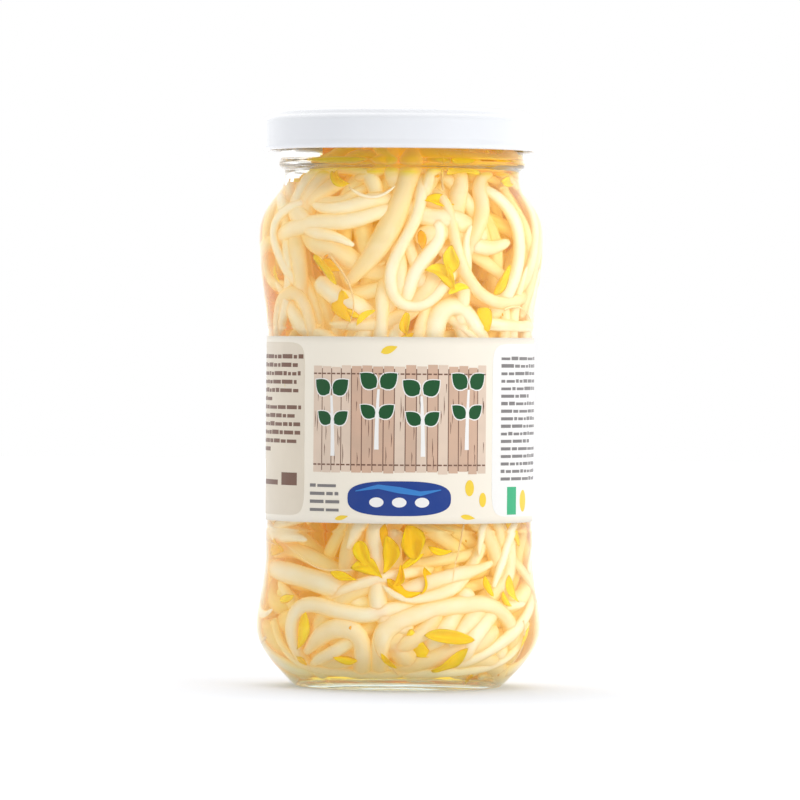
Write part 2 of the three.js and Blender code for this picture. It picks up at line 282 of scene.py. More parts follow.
def carried_over(tree, value, low, high, to_low=0.0, to_high=1.0):
    """A value carried from one range to another and held inside it."""
    return add_node(tree, "ShaderNodeMapRange", {
        "Value": value, "From Min": low, "From Max": high, "To Min": to_low, "To Max": to_high}).outputs[0]


def colour_mix(tree, share, first, second):
    """A mix of two colours, each a value or a socket."""
    return add_node(tree, "ShaderNodeMix", {0: share, 6: first, 7: second}, data_type="RGBA").outputs[2]


def places_on(tree, kind="Object"):
    return add_node(tree, "ShaderNodeTexCoord").outputs[kind]


def noise(tree, places, scale, detail, rough=0.5):
    return add_node(tree, "ShaderNodeTexNoise", {
        "Vector": places, "Scale": scale, "Detail": detail, "Roughness": rough}).outputs["Fac"]


def kept_value(tree, name):
    """A value that each point of the piece keeps."""
    return add_node(tree, "ShaderNodeAttribute", attribute_name=name).outputs["Fac"]


def bumps(tree, height, strength, distance):
    return add_node(tree, "ShaderNodeBump", {
        "Height": height, "Strength": strength, "Distance": distance}).outputs["Normal"]


def effect(name, inputs, outputs):
    """An empty node group with named inputs (name: default) and outputs (name: kind)."""
    group = bpy.data.node_groups.new(name, "ShaderNodeTree")
    for label, default in inputs.items():
        kind = "Color" if isinstance(default, tuple) else "Float"
        socket = group.interface.new_socket(label, in_out="INPUT", socket_type=f"NodeSocket{kind}")
        socket.default_value = default
    for label, kind in outputs.items():
        group.interface.new_socket(label, in_out="OUTPUT", socket_type=f"NodeSocket{kind}")
    return group, group.nodes.new("NodeGroupInput").outputs, group.nodes.new("NodeGroupOutput")


def use_effect(tree, group, inputs):
    return add_node(tree, "ShaderNodeGroup", inputs, node_tree=group).outputs


def new_material(name):
    """A material with a Principled shader, and its tree."""
    material = bpy.data.materials.new(name)
    material.use_nodes = True
    tree = material.node_tree
    return material, tree, tree.nodes["Principled BSDF"]


def flesh_effect():
    """Soft mottling and lengthwise fibres of plant flesh, each piece's own tone, and painted amber shade and
    glow, as of light through more brine, which grow on what lies deeper, and most of all in the neck under
    the lid."""
    group, given, out = effect(
        "Plant flesh",
        {"Pale": WHITE, "Deep": WHITE, "Painted Deep Shade": WHITE, "Painted Inner Glow": BLACK, "Painted Deep Glow": BLACK,
         "Patch Scale": 200.0, "Fibre": 0.5},
        {"Colour": "Color", "Glow": "Color", "Height": "Float"},
    )
    patches = noise(group, places_on(group), given["Patch Scale"], 3.0, 0.55)
    along = add_node(group, "ShaderNodeMapping", {
        "Vector": places_on(group, "UV"), "Scale": (7.0, 1.6, 1.0)}).outputs[0]
    fibres = reckoned(group, "MULTIPLY", noise(group, along, 1.0, 2.0), given["Fibre"])
    spread = reckoned(group, "ADD", patches, kept_value(group, "tone"))
    share = carried_over(group, reckoned(group, "ADD", spread, fibres), 0.75, 1.75)
    depth = kept_value(group, "depth")
    in_neck = carried_over(group, depth, 1.0, 2.0)
    fresh = colour_mix(group, share, given["Pale"], given["Deep"])
    painted_deep_shade = colour_mix(group, depth, fresh, given["Painted Deep Shade"])
    painted_glow = colour_mix(group, depth, given["Painted Inner Glow"], given["Painted Deep Glow"])
    fed(group, out, {
        "Colour": colour_mix(group, in_neck, painted_deep_shade, PAINTED_NECK_SHADE),
        "Glow": colour_mix(group, in_neck, painted_glow, PAINTED_NECK_GLOW),
        "Height": reckoned(group, "ADD", fibres, patches)})
    return group


def tooth_effect():
    """Fine tooth and slight cloudiness of coated paper, under any ink."""
    group, given, out = effect(
        "Paper tooth", {"Ink": WHITE, "Cloud": 0.04}, {"Colour": "Color", "Height": "Float"})
    places = places_on(group)
    cloud = reckoned(group, "MULTIPLY", noise(group, places, 160.0, 2.0), given["Cloud"])
    fed(group, out, {
        "Colour": colour_mix(group, cloud, given["Ink"], (0.35, 0.3, 0.24, 1)),
        "Height": noise(group, places, 2600.0, 4.0)})
    return group


def wear_effect():
    """Faint unevenness of a hard surface: a slow ripple, fine peel, and dull patches."""
    group, given, out = effect(
        "Fired surface",
        {"Ripple Scale": 60.0, "Peel Scale": 900.0, "Gloss": 0.1, "Dull": 0.3},
        {"Height": "Float", "Roughness": "Float", "Patch": "Float"},
    )
    places = places_on(group)
    ripple = noise(group, places, given["Ripple Scale"], 1.0)
    peel = reckoned(group, "MULTIPLY", noise(group, places, given["Peel Scale"], 2.0), 0.12)
    fed(group, out, {
        "Height": reckoned(group, "ADD", ripple, peel),
        "Roughness": carried_over(group, ripple, 0.3, 0.75, given["Gloss"], given["Dull"]),
        "Patch": ripple})
    return group


PAINTED_DEEP_SHADE = (0.8, 0.64, 0.01, 1)  # painted amber shade of flesh that lies deeper, as of light through more brine and shade between strands
# painted amber glow of flesh that lies deeper
PAINTED_DEEP_GLOW = (0.44, 0.31, 0.0, 1)
# Painted shade and painted glow of the strands in the neck, which lie in the lid's shade.
PAINTED_NECK_SHADE = (0.86, 0.56, 0.02, 1)
PAINTED_NECK_GLOW = (0.76, 0.47, 0.01, 1)
PLANT_FLESH = flesh_effect()
PAPER_TOOTH = tooth_effect()
FIRED_SURFACE = wear_effect()


def lets_light_through(tree, shader, share=1.0, tint=WHITE, edge=0.0):
    """A share of the light goes straight on to what stands behind, and more of it at soft edges."""
    path = add_node(tree, "ShaderNodeLightPath")
    passing = reckoned(tree, "MULTIPLY", path.outputs["Is Shadow Ray"], share)
    if edge:
        facing = add_node(tree, "ShaderNodeLayerWeight", {"Blend": 0.35})
        thin = reckoned(tree, "MULTIPLY", facing.outputs["Facing"], edge)
        passing = reckoned(tree, "MAXIMUM", passing, thin)
    clear = add_node(tree, "ShaderNodeBsdfTransparent", {"Color": tint})
    mix = add_node(tree, "ShaderNodeMixShader", {0: passing, 1: shader.outputs[0], 2: clear.outputs[0]})
    fed(tree, tree.nodes["Material Output"], {"Surface": mix.outputs[0]})


CLEAR_IOR = 1.5
WETTED_IOR = 1.128  # glass against brine
GLASS_TINT = (0.985, 0.995, 0.985, 1)
THICK_GLASS = (0.9, 0.975, 0.93, 1)
THICK_ZONE = (0.001, 0.009)  # heights in metres over which the base's green fades out
FOOT_TINT = (0.53, 0.59, 0.58, 1)
PAINTED_FOOT_GLOW = (0.12, 0.16, 0.155, 1)
FOOT_ZONE = (0.0012, 0.0034)  # and its grey foot, dimmed, with a painted glow as of the light it catches


def glass_material(name, ior):
    material, tree, shader = new_material(name)
    surface = use_effect(tree, FIRED_SURFACE, {
        "Ripple Scale": 45.0, "Peel Scale": 300.0, "Gloss": 0.0, "Dull": 0.0})
    height = add_node(tree, "ShaderNodeSeparateXYZ", {0: places_on(tree)}).outputs["Z"]
    thick = carried_over(tree, height, *THICK_ZONE, 1.0, 0.0)
    foot = carried_over(tree, height, *FOOT_ZONE, 1.0, 0.0)
    # The grey foot is dimmed and glows with painted light.
    fed(tree, shader, {
        "Base Color": colour_mix(tree, foot, colour_mix(tree, thick, GLASS_TINT, THICK_GLASS), FOOT_TINT),
        "Emission Color": colour_mix(tree, foot, BLACK, PAINTED_FOOT_GLOW),
        "Emission Strength": 0.5, "Roughness": 0.0, "IOR": ior, "Transmission Weight": 1.0,
        "Normal": bumps(tree, surface["Height"], 0.25, 0.0004)})
    lets_light_through(tree, shader)
    return material


def brine_material():
    """Golden liquid: its outside bends no light here, because the wetted glass already does."""
    material, tree, shader = new_material("Brine")
    fed(tree, shader, {"Base Color": WHITE, "Roughness": 0.0, "IOR": 1.0, "Transmission Weight": 1.0})
    lets_light_through(tree, shader)
    soak = add_node(tree, "ShaderNodeVolumeAbsorption", {"Color": (0.995, 0.85, 0.08, 1), "Density": 58.0})
    fed(tree, tree.nodes["Material Output"], {"Volume": soak.outputs[0]})
    return material


def flesh_material(name, pale, deep, painted_glow, rim, patch_scale, fibre, soft, edge=0.0):
    """Wet plant flesh under brine: soft light inside it, a painted warm glow and painted golden edges, and
    hardly any gloss of its own.
    """
    material, tree, shader = new_material(name)
    flesh = use_effect(tree, PLANT_FLESH, {
        "Pale": pale, "Deep": deep, "Painted Deep Shade": PAINTED_DEEP_SHADE, "Painted Inner Glow": painted_glow, "Painted Deep Glow": PAINTED_DEEP_GLOW,
        "Patch Scale": patch_scale, "Fibre": fibre})
    # Painted light: the flesh glows warm, and its edges turn golden and glow golden, as if lit through from
    # behind.
    facing = add_node(tree, "ShaderNodeLayerWeight", {"Blend": 0.3}).outputs["Facing"]
    fed(tree, shader, {
        "Base Color": colour_mix(tree, facing, flesh["Colour"], rim),
        "Emission Color": colour_mix(tree, facing, flesh["Glow"], rim),
        "Emission Strength": 0.24, "Roughness": 0.4, "IOR": 1.03,
        "Subsurface Weight": 0.8, "Subsurface Radius": (1.0, 0.95, 0.85), "Subsurface Scale": soft,
        "Normal": bumps(tree, flesh["Height"], 0.35, 0.0003)})
    lets_light_through(tree, shader, 0.4, (1.0, 0.88, 0.5, 1), edge)
    return material


def sprout_flesh():
    return flesh_material(
        "Sprout flesh", pale=(0.97, 0.925, 0.8, 1), deep=(0.88, 0.73, 0.44, 1), painted_glow=(0.46, 0.33, 0.16, 1),
        rim=(0.93, 0.72, 0.29, 1), patch_scale=130.0, fibre=0.6, soft=0.0013, edge=0.45)


def seed_leaf_flesh():
    return flesh_material(
        "Seed leaf flesh", pale=(1.0, 0.76, 0.02, 1), deep=(0.92, 0.54, 0.002, 1), painted_glow=(0.42, 0.24, 0.0, 1),
        rim=(0.9, 0.55, 0.005, 1), patch_scale=260.0, fibre=0.5, soft=0.0008, edge=0.5)


def root_thread_flesh():
    return flesh_material(
        "Root thread flesh", pale=(0.92, 0.76, 0.46, 1), deep=(0.72, 0.48, 0.2, 1), painted_glow=(0.3, 0.2, 0.08, 1),
        rim=(0.7, 0.45, 0.15, 1), patch_scale=300.0, fibre=0.3, soft=0.0004)


def bran_brown():
    return flesh_material(
        "Bran brown", pale=(0.93, 0.5, 0.05, 1), deep=(0.7, 0.3, 0.02, 1), painted_glow=(0.5, 0.2, 0.0, 1),
        rim=(0.9, 0.5, 0.02, 1), patch_scale=500.0, fibre=0.4, soft=0.0006, edge=0.9)


def hard_finish(name, tone, other, gloss, dull, ripple=160.0, peel=1800.0, coat=0.0, coat_rough=0.03):
    """A fired or moulded finish in two near tones."""
    material, tree, shader = new_material(name)
    surface = use_effect(tree, FIRED_SURFACE, {
        "Ripple Scale": ripple, "Peel Scale": peel, "Gloss": gloss, "Dull": dull})
    fed(tree, shader, {
        "Base Color": colour_mix(tree, surface["Patch"], tone, other),
        "Roughness": surface["Roughness"], "Coat Weight": coat, "Coat Roughness": coat_rough,
        "Normal": bumps(tree, surface["Height"], 0.2, 0.0002)})
    return material


def white_enamel():
    return hard_finish(
        "White enamel", (0.73, 0.745, 0.775, 1), (0.77, 0.78, 0.805, 1), gloss=0.16, dull=0.3,
        ripple=70.0, peel=1400.0, coat=0.4, coat_rough=0.08)


def inner_lacquer():
    return hard_finish(
        "Inner lacquer", (0.82, 0.8, 0.74, 1), (0.86, 0.84, 0.79, 1), gloss=0.24, dull=0.36, coat=0.2)


def seal_compound():
    return hard_finish("Seal compound", (0.8, 0.78, 0.7, 1), (0.85, 0.83, 0.76, 1), gloss=0.48, dull=0.72)


def paper_material(name, ink, cloud=0.05):
    material, tree, shader = new_material(name)
    paper = use_effect(tree, PAPER_TOOTH, {"Ink": ink, "Cloud": cloud})
    fed(tree, shader, {
        "Base Color": paper["Colour"], "Roughness": 0.42, "Specular IOR Level": 0.2,
        "Coat Weight": 0.04, "Coat Roughness": 0.3,
        "Normal": bumps(tree, paper["Height"], 0.15, 0.00005)})
    return material


# Jar and lid -------------------------------------------------------------


THREAD_START, THREAD_END = -5, 58  # degrees round the jar,
THREAD_RUN_OUT = 9  # and over how many each end fades away
THREAD_CLEARANCE = 0.4  # above the lugs
THREAD_HALF = 0.75  # half the height of the flank
THREAD_SPREAD = 0.95


def thread_bump(height, angles):
    """How far the slanting threads stand out of the finish, at a height and at each angle."""
    turn = (angles % (2 * math.pi / THREADS)) * 180 / math.pi
    turn = np.where(turn > 80, turn - 90, turn)
    low = LUG_TOP + THREAD_CLEARANCE + turn / 360 * THREAD_LEAD
    across = np.clip(1 - np.abs(height - low - THREAD_HALF) / THREAD_SPREAD, 0, 1)
    along = np.clip(np.minimum(turn - THREAD_START, THREAD_END - turn) / THREAD_RUN_OUT, 0, 1)
    return (THREAD_RADIUS - FINISH_RADIUS) * np.minimum(1, across * 2.2) * along


def glass_jar():
    """The jar, whose inside is a finish of its own where brine wets it."""
    def with_threads(radius, height, angles):
        on_finish = abs(radius - FINISH_RADIUS) < 1e-6 and THREAD_WALL - THREAD_ROW < height < RIM_TOP - 1.05
        return radius + thread_bump(height, angles) if on_finish else np.full(len(angles), radius)

    outside = [*glass_outside(), *thread_wall(), *glass_rim()]
    level = [(NECK_BORE + 0.1, BRINE_TOP + 0.8)]
    inside = [*inner_wall(), *neck_wall()][::-1]
    points, faces, rows = turned([*outside, *level, *inside], GLASS_AROUND, with_threads)
    middles = np.array([np.mean([points[k] for k in face], axis=0) for face in faces])
    wetted = (rows >= len(outside)) & (air_pocket(middles) < 0.05)
    finishes = [glass_material("Clear glass", CLEAR_IOR), glass_material("Glass against brine", WETTED_IOR)]
    jar = made_mesh("glass_jar_clear", points, faces, finishes, wetted.astype(int))
    return placed(jar, "jar", "glass", "glass_jar")


BRINE_SHORT = 0.02  # it stops just short of the glass, which already bends the light


def brine():
    """The brine, which creeps up the glass a little at its top."""
    def past_air(radius, height, angles):
        heights = np.full(len(angles), height)
        return radius - air_pocket(np.stack([radius * np.sin(angles), -radius * np.cos(angles), heights], -1))

    wall = [(max(r - BRINE_SHORT, 0), z + (BRINE_SHORT if r < 22 else 0))
            for r, z in [*inner_wall(), *neck_wall()]]
    wall[0] = (0, FLOOR_TOP + BRINE_SHORT)
    top = [(NECK_BORE + 0.1 - BRINE_SHORT, BRINE_TOP + 0.75), (NECK_BORE - 0.5, BRINE_TOP + 0.2),
           (NECK_BORE - 1.6, BRINE_TOP - 0.1), (NECK_BORE - 4, BRINE_TOP - 0.15),
           (NECK_BORE - 8, BRINE_TOP - 0.15), (0, BRINE_TOP - 0.15)]
    points, faces, _ = turned([*wall, *top], GLASS_AROUND, past_air)
    return placed(made_mesh("brine_golden", points, faces, [brine_material()]), "jar", "brine", "brine")


def lid_profile():
    skirt = LID_RADIUS - LID_SHEET
    curl = LID_RADIUS - CURL_RADIUS
    curl_z = LID_BOTTOM + CURL_RADIUS
    roll = [(curl + CURL_RADIUS * math.cos(a), curl_z + CURL_RADIUS * math.sin(a))
            for a in np.linspace(math.pi * 0.5, math.pi * 2, 16)]
    inside = outline(
        (0, LID_TOP - 1.15),
        (9.5, LID_TOP - 1.15),
        (11.5, LID_TOP - 1.4),
        (25, LID_TOP - 1.4),
        (26.2, LID_TOP - 1.35, 26.4, LID_TOP - 0.7, 27.6, LID_TOP - LID_SHEET),
        (29.8, LID_TOP - LID_SHEET),
        (30.6, LID_TOP - 0.6, 30.9, LID_TOP - 1.5, 31.5, LID_TOP - 1.7),
        (32.3, LID_TOP - 2.0, skirt, LID_TOP - 2.2, skirt, LID_TOP - 3.1),
        (skirt, curl_z + CURL_RADIUS + 0.4),
    )
    outside = outline(
        (LID_RADIUS, curl_z + 0.3),
        (LID_RADIUS - 0.1, curl_z + 1.0, LID_RADIUS - 0.12, curl_z + 1.2, LID_RADIUS - 0.1, curl_z + 1.6),
        (LID_RADIUS, LID_TOP - 2.7),
        (LID_RADIUS, LID_TOP - 1.9, 32.6, LID_TOP - 1.45, 31.9, LID_TOP - 1.2),
        (31.2, LID_TOP - 1.05, 30.9, LID_TOP, 29.8, LID_TOP),
        (27.6, LID_TOP),
        (26.6, LID_TOP, 26.3, LID_TOP - 0.9, 25, LID_TOP - 0.9),
        (12.4, LID_TOP - 0.88),
        (11.2, LID_TOP - 0.88, 10.8, LID_TOP - 0.4, 9.4, LID_TOP - 0.38),
        (0, LID_TOP - 0.3),
    )
    return inside, roll, outside


def lid():
    inside, roll, outside = lid_profile()

    def with_lugs(radius, height, angles):
        """The curl is pressed inwards into a lug at four places."""
        turn = np.abs((angles * 180 / math.pi + 45) % 90 - 45)
        pressed = np.clip((LUG_HALF_ANGLE - turn) / 4, 0, 1)
        inner_side = LID_RADIUS - 2 * CURL_RADIUS - 0.4 < radius < LID_RADIUS - 0.9
        low = height < LID_BOTTOM + 1.9
        reach = (radius - LUG_TIP) * 0.8 if inner_side and low else 0
        return radius - reach * pressed * pressed * (3 - 2 * pressed)

    points, faces, rows = turned([*inside, *roll, *outside], LID_AROUND, with_lugs)
    inner = rows < len(inside)
    shell = made_mesh("lid_white", points, faces, [white_enamel(), inner_lacquer()], inner.astype(int))
    return placed(shell, "lid", "lid_enamel", "lid")


def lid_seal():
    low, high = (corner.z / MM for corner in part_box("lid_seal"))
    section = outline(
        (27.1, low + 0.15),
        (27.1, low, 27.2, low, 27.4, low),
        (28.1, low),
        (28.3, low + 0.12, 28.7, low + 0.12, 28.9, low),
        (29.7, low),
        (29.9, low, 29.9, low + 0.05, 29.9, low + 0.2),
        (29.9, high - 0.15),
        (29.7, high, 29.0, high, 28.6, high),
        (27.9, high, 27.3, high - 0.1, 27.1, high - 0.4),
        (27.1, low + 0.15),
    )
    points, faces, _ = turned(section, SEAL_AROUND)
    ring = made_mesh("lid_seal_ring", points, faces, [seal_compound()])
    return placed(ring, "seal", "seal_compound", "lid_seal")


# Label -------------------------------------------------------------------


def paper_place(u, v, out):
    """A spot of the label: u along the wrap from the front's middle, v up, out from the paper."""
    angle = u / LABEL_OUTER
    radius = LABEL_OUTER + out
    return (radius * math.sin(angle), -radius * math.cos(angle), LABEL_BOTTOM + v)


def label_paper():
    """The wrap, with its overlap at the back and edges that lift a little."""
    half_turn = math.pi * LABEL_OUTER
    columns = np.linspace(-half_turn, half_turn + LABEL_LAP, 170)
    rows = np.linspace(0, LABEL_TOP - LABEL_BOTTOM, 25)
    points = []
    for outer, lift in ((True, 0.08), (False, 0.2)):
        for u in columns:
            climb = np.clip((u - half_turn + 3) / 3, 0, 1) * lift
            for v in rows:
                ripple = 0.015 * math.sin(u * 0.9 + v * 0.2) + 0.012 * math.sin(u * 0.37 - v * 0.5)
                out = climb - 0.03 + ripple * (1 - climb * 10) if outer else climb - 0.22
                points.append(paper_place(u, v, out))
    across, up = len(columns), len(rows)
    count = across * up
    faces = two_skins(across, up)
    for i in range(across - 1):
        a, b = i * up, i * up + up - 1
        faces.append((a, count + a, count + a + up, a + up))
        faces.append((b, b + up, count + b + up, count + b))
    for j in range(up - 1):
        a, b = j, (across - 1) * up + j
        faces.append((a, a + 1, count + a + 1, count + a))
        faces.append((b, count + b, count + b + 1, b + 1))
    wrap = made_mesh("label_wrap", points, faces, [paper_material("Cream paper", (0.84, 0.78, 0.67, 1))])
    return placed(wrap, "jar", "label_paper", "label")


INK_THICKNESS = 0.012  # of each layer
INK_ROOT = -0.1  # how far into the paper it reaches
CUT_PITCH = 1.5  # the film is cut this often, to follow the round wall
OVAL_STEPS = 48


def put_in_order(bm, top):
    """Puts the sides of a film last, by their places, because they are made in no fixed order."""
    def order(face):
        is_side = len({v in top for v in face.verts}) > 1
        return tuple(face.calc_center_median()) if is_side else ()

    for i, face in enumerate(sorted(bm.faces, key=order)):
        face.index = i
    bm.faces.sort()


def printed(name, shapes, ink, layer):
    """Shapes of (u, v) points printed on the wrap as one thin film of ink, over the layers below it."""
    bm = bmesh.new()
    for shape in shapes:
        bm.faces.new([bm.verts.new((u, 0, v)) for u, v in shape])
    across = [v.co.x for v in bm.verts]
    for cut in np.arange(math.floor(min(across)), max(across), CUT_PITCH):
        parts = [*bm.verts, *bm.edges, *bm.faces]
        bmesh.ops.bisect_plane(bm, geom=parts, plane_co=(cut, 0, 0), plane_no=(1, 0, 0))
    bmesh.ops.recalc_face_normals(bm, faces=bm.faces)
    for face in bm.faces:
        if face.normal.y > 0:
            face.normal_flip()
    film = bmesh.ops.extrude_face_region(bm, geom=bm.faces[:])
    top = {part for part in film["geom"] if isinstance(part, bmesh.types.BMVert)}
    for v in bm.verts:
        out = INK_THICKNESS * layer if v in top else INK_ROOT
        v.co = Vector(paper_place(v.co.x, v.co.z, out)) * MM
    put_in_order(bm, top)
    bmesh.ops.triangulate(bm, faces=bm.faces[:])
    bmesh.ops.recalc_face_normals(bm, faces=bm.faces)
    mesh = bpy.data.meshes.new(name)
    bm.to_mesh(mesh)
    bm.free()
    mesh.materials.append(ink)
    return placed(into_scene(name, mesh), "jar", "label_paper")


def oval(u, v, half_u, half_v, power=2.0):
    """An oval, which a higher power squares off."""
    shape = []
    for i in range(OVAL_STEPS):
        c, s = math.cos(i * 2 * math.pi / OVAL_STEPS), math.sin(i * 2 * math.pi / OVAL_STEPS)
        shape.append((u + half_u * math.copysign(abs(c) ** (2 / power), c),
                      v + half_v * math.copysign(abs(s) ** (2 / power), s)))
    return shape


def block(u0, v0, u1, v1):
    return [(u0, v0), (u1, v0), (u1, v1), (u0, v1)]


def leaf_shape(u, v, lean, length, width, steps=8):
    """A pointed leaf from its stalk end, leaning by an angle in degrees."""
    side = [(t, width / 2 * math.sin(math.pi * t**0.8) ** 0.9) for t in np.linspace(0, 1, steps + 1)]
    loop = [(t * length, w) for t, w in side] + [(t * length, -w) for t, w in side[-2:0:-1]]
    c, s = leaning(lean)
    return [(u + x * c - y * s, v + x * s + y * c) for x, y in loop]


def stroke(points, widths):
    """A ribbon of ink along points, as wide as given at each."""
    left, right = [], []
    for i, (u, v) in enumerate(points):
        before, after = points[max(i - 1, 0)], points[min(i + 1, len(points) - 1)]
        du, dv = after[0] - before[0], after[1] - before[1]
        size = math.hypot(du, dv)
        wide = widths[i] / 2 / size
        left.append((u - dv * wide, v + du * wide))
        right.append((u + dv * wide, v - du * wide))
    return left + right[::-1]


def seedling(u, v, tall, lean, margin=0.0):
    """A young plant with two pairs of leaves. Returns its bowed stem and its leaves."""
    steps = np.linspace(0, 1, 9)
    line = [(u + lean * tall * t * t, v + tall * t) for t in steps]
    stem = stroke(line, [1.1 - 0.5 * t + margin for t in steps])
    leaves = []
    for at, length, width in ((4, 4.5, 3.2), (8, 5.0, 3.9)):
        for tilt in (40, 140):
            c, s = leaning(tilt)
            start = (line[at][0] + c * (0.75 - margin), line[at][1] + s * (0.75 - margin))
            leaves.append(leaf_shape(*start, tilt, length + 2 * margin, width + 2 * margin))
    return stem, leaves


def broken_rules(u, v, width, count, pitch, thick, draw):
    """A block of thin rules broken into dashes, with ragged right ends. No lettering."""
    dashes = []
    for i in range(count):
        low = v - i * pitch
        end = u + width * (0.55 if i % 6 == 5 else 1 - 0.1 * draw())
        at = u
        while at < end - 0.8:
            reach = min(1.2 + 4.2 * draw() ** 1.4, end - at)
            dashes.append(block(at, low, at + reach, low + thick * (0.85 + 0.3 * draw())))
            at += reach + 0.55
    return dashes


# Sprouts -----------------------------------------------------------------


def random_source(seed):
    """The same repeatable draw as in the solids, from 0 to 1."""
    whole = 0xFFFFFFFF
    state = [seed]

    def draw():
        state[0] = (state[0] + 0x6D2B79F5) & whole
        mixed = ((state[0] ^ (state[0] >> 15)) * (1 | state[0])) & whole
        mixed = ((mixed + (mixed ^ (mixed >> 7)) * (61 | mixed)) & whole) ^ mixed
        return (mixed ^ (mixed >> 14)) / 4294967296

    return draw


SPROUTS = 30  # the leading sprouts, which are in the solids too
SEED = 27
SEED_LEAVES = 10
LEAF_HALF_LENGTH = 4.2
LEAF_DEPTH = 3.3
LEAF_SPACING = 14
LOWEST_SHARE = 0.12
HIGHEST_SHARE = 0.88
ROOT_DIVE = 5.5
DIVE_SHARE = 0.2
LEADING_STEPS = 12
STRIDE = 2.5  # from one point of a strand to the next
WALL_FILM = 0.12  # brine between the glass and what lies against it
NECK_GAP = 1.5  # and between it and the strands in the neck
NEAR_WALL = 4.2  # a sprout that comes this close to the wall gets the finer mesh
AIR_POCKET = (-90, 36, 118, 140, 6.6)  # in the neck: angle, half angle, bottom, top, depth
PRESSED = 0.14  # share of a sprout's thickness lost towards the wall
GOLDEN_TURN = math.pi * (3 - math.sqrt(5))

LOOSE_LEAVES = 34
ROOT_THREADS = 26
FLECKS = 22

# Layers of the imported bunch, from the wall in: depth, number of sprouts.
LAYERS = [(2.6, 62), (6.0, 88), (10.0, 60), (14.4, 38), (19.0, 24), (24.0, 10)]

FRONT_DIVE = 0.55  # how sharply their ends turn into the tangle
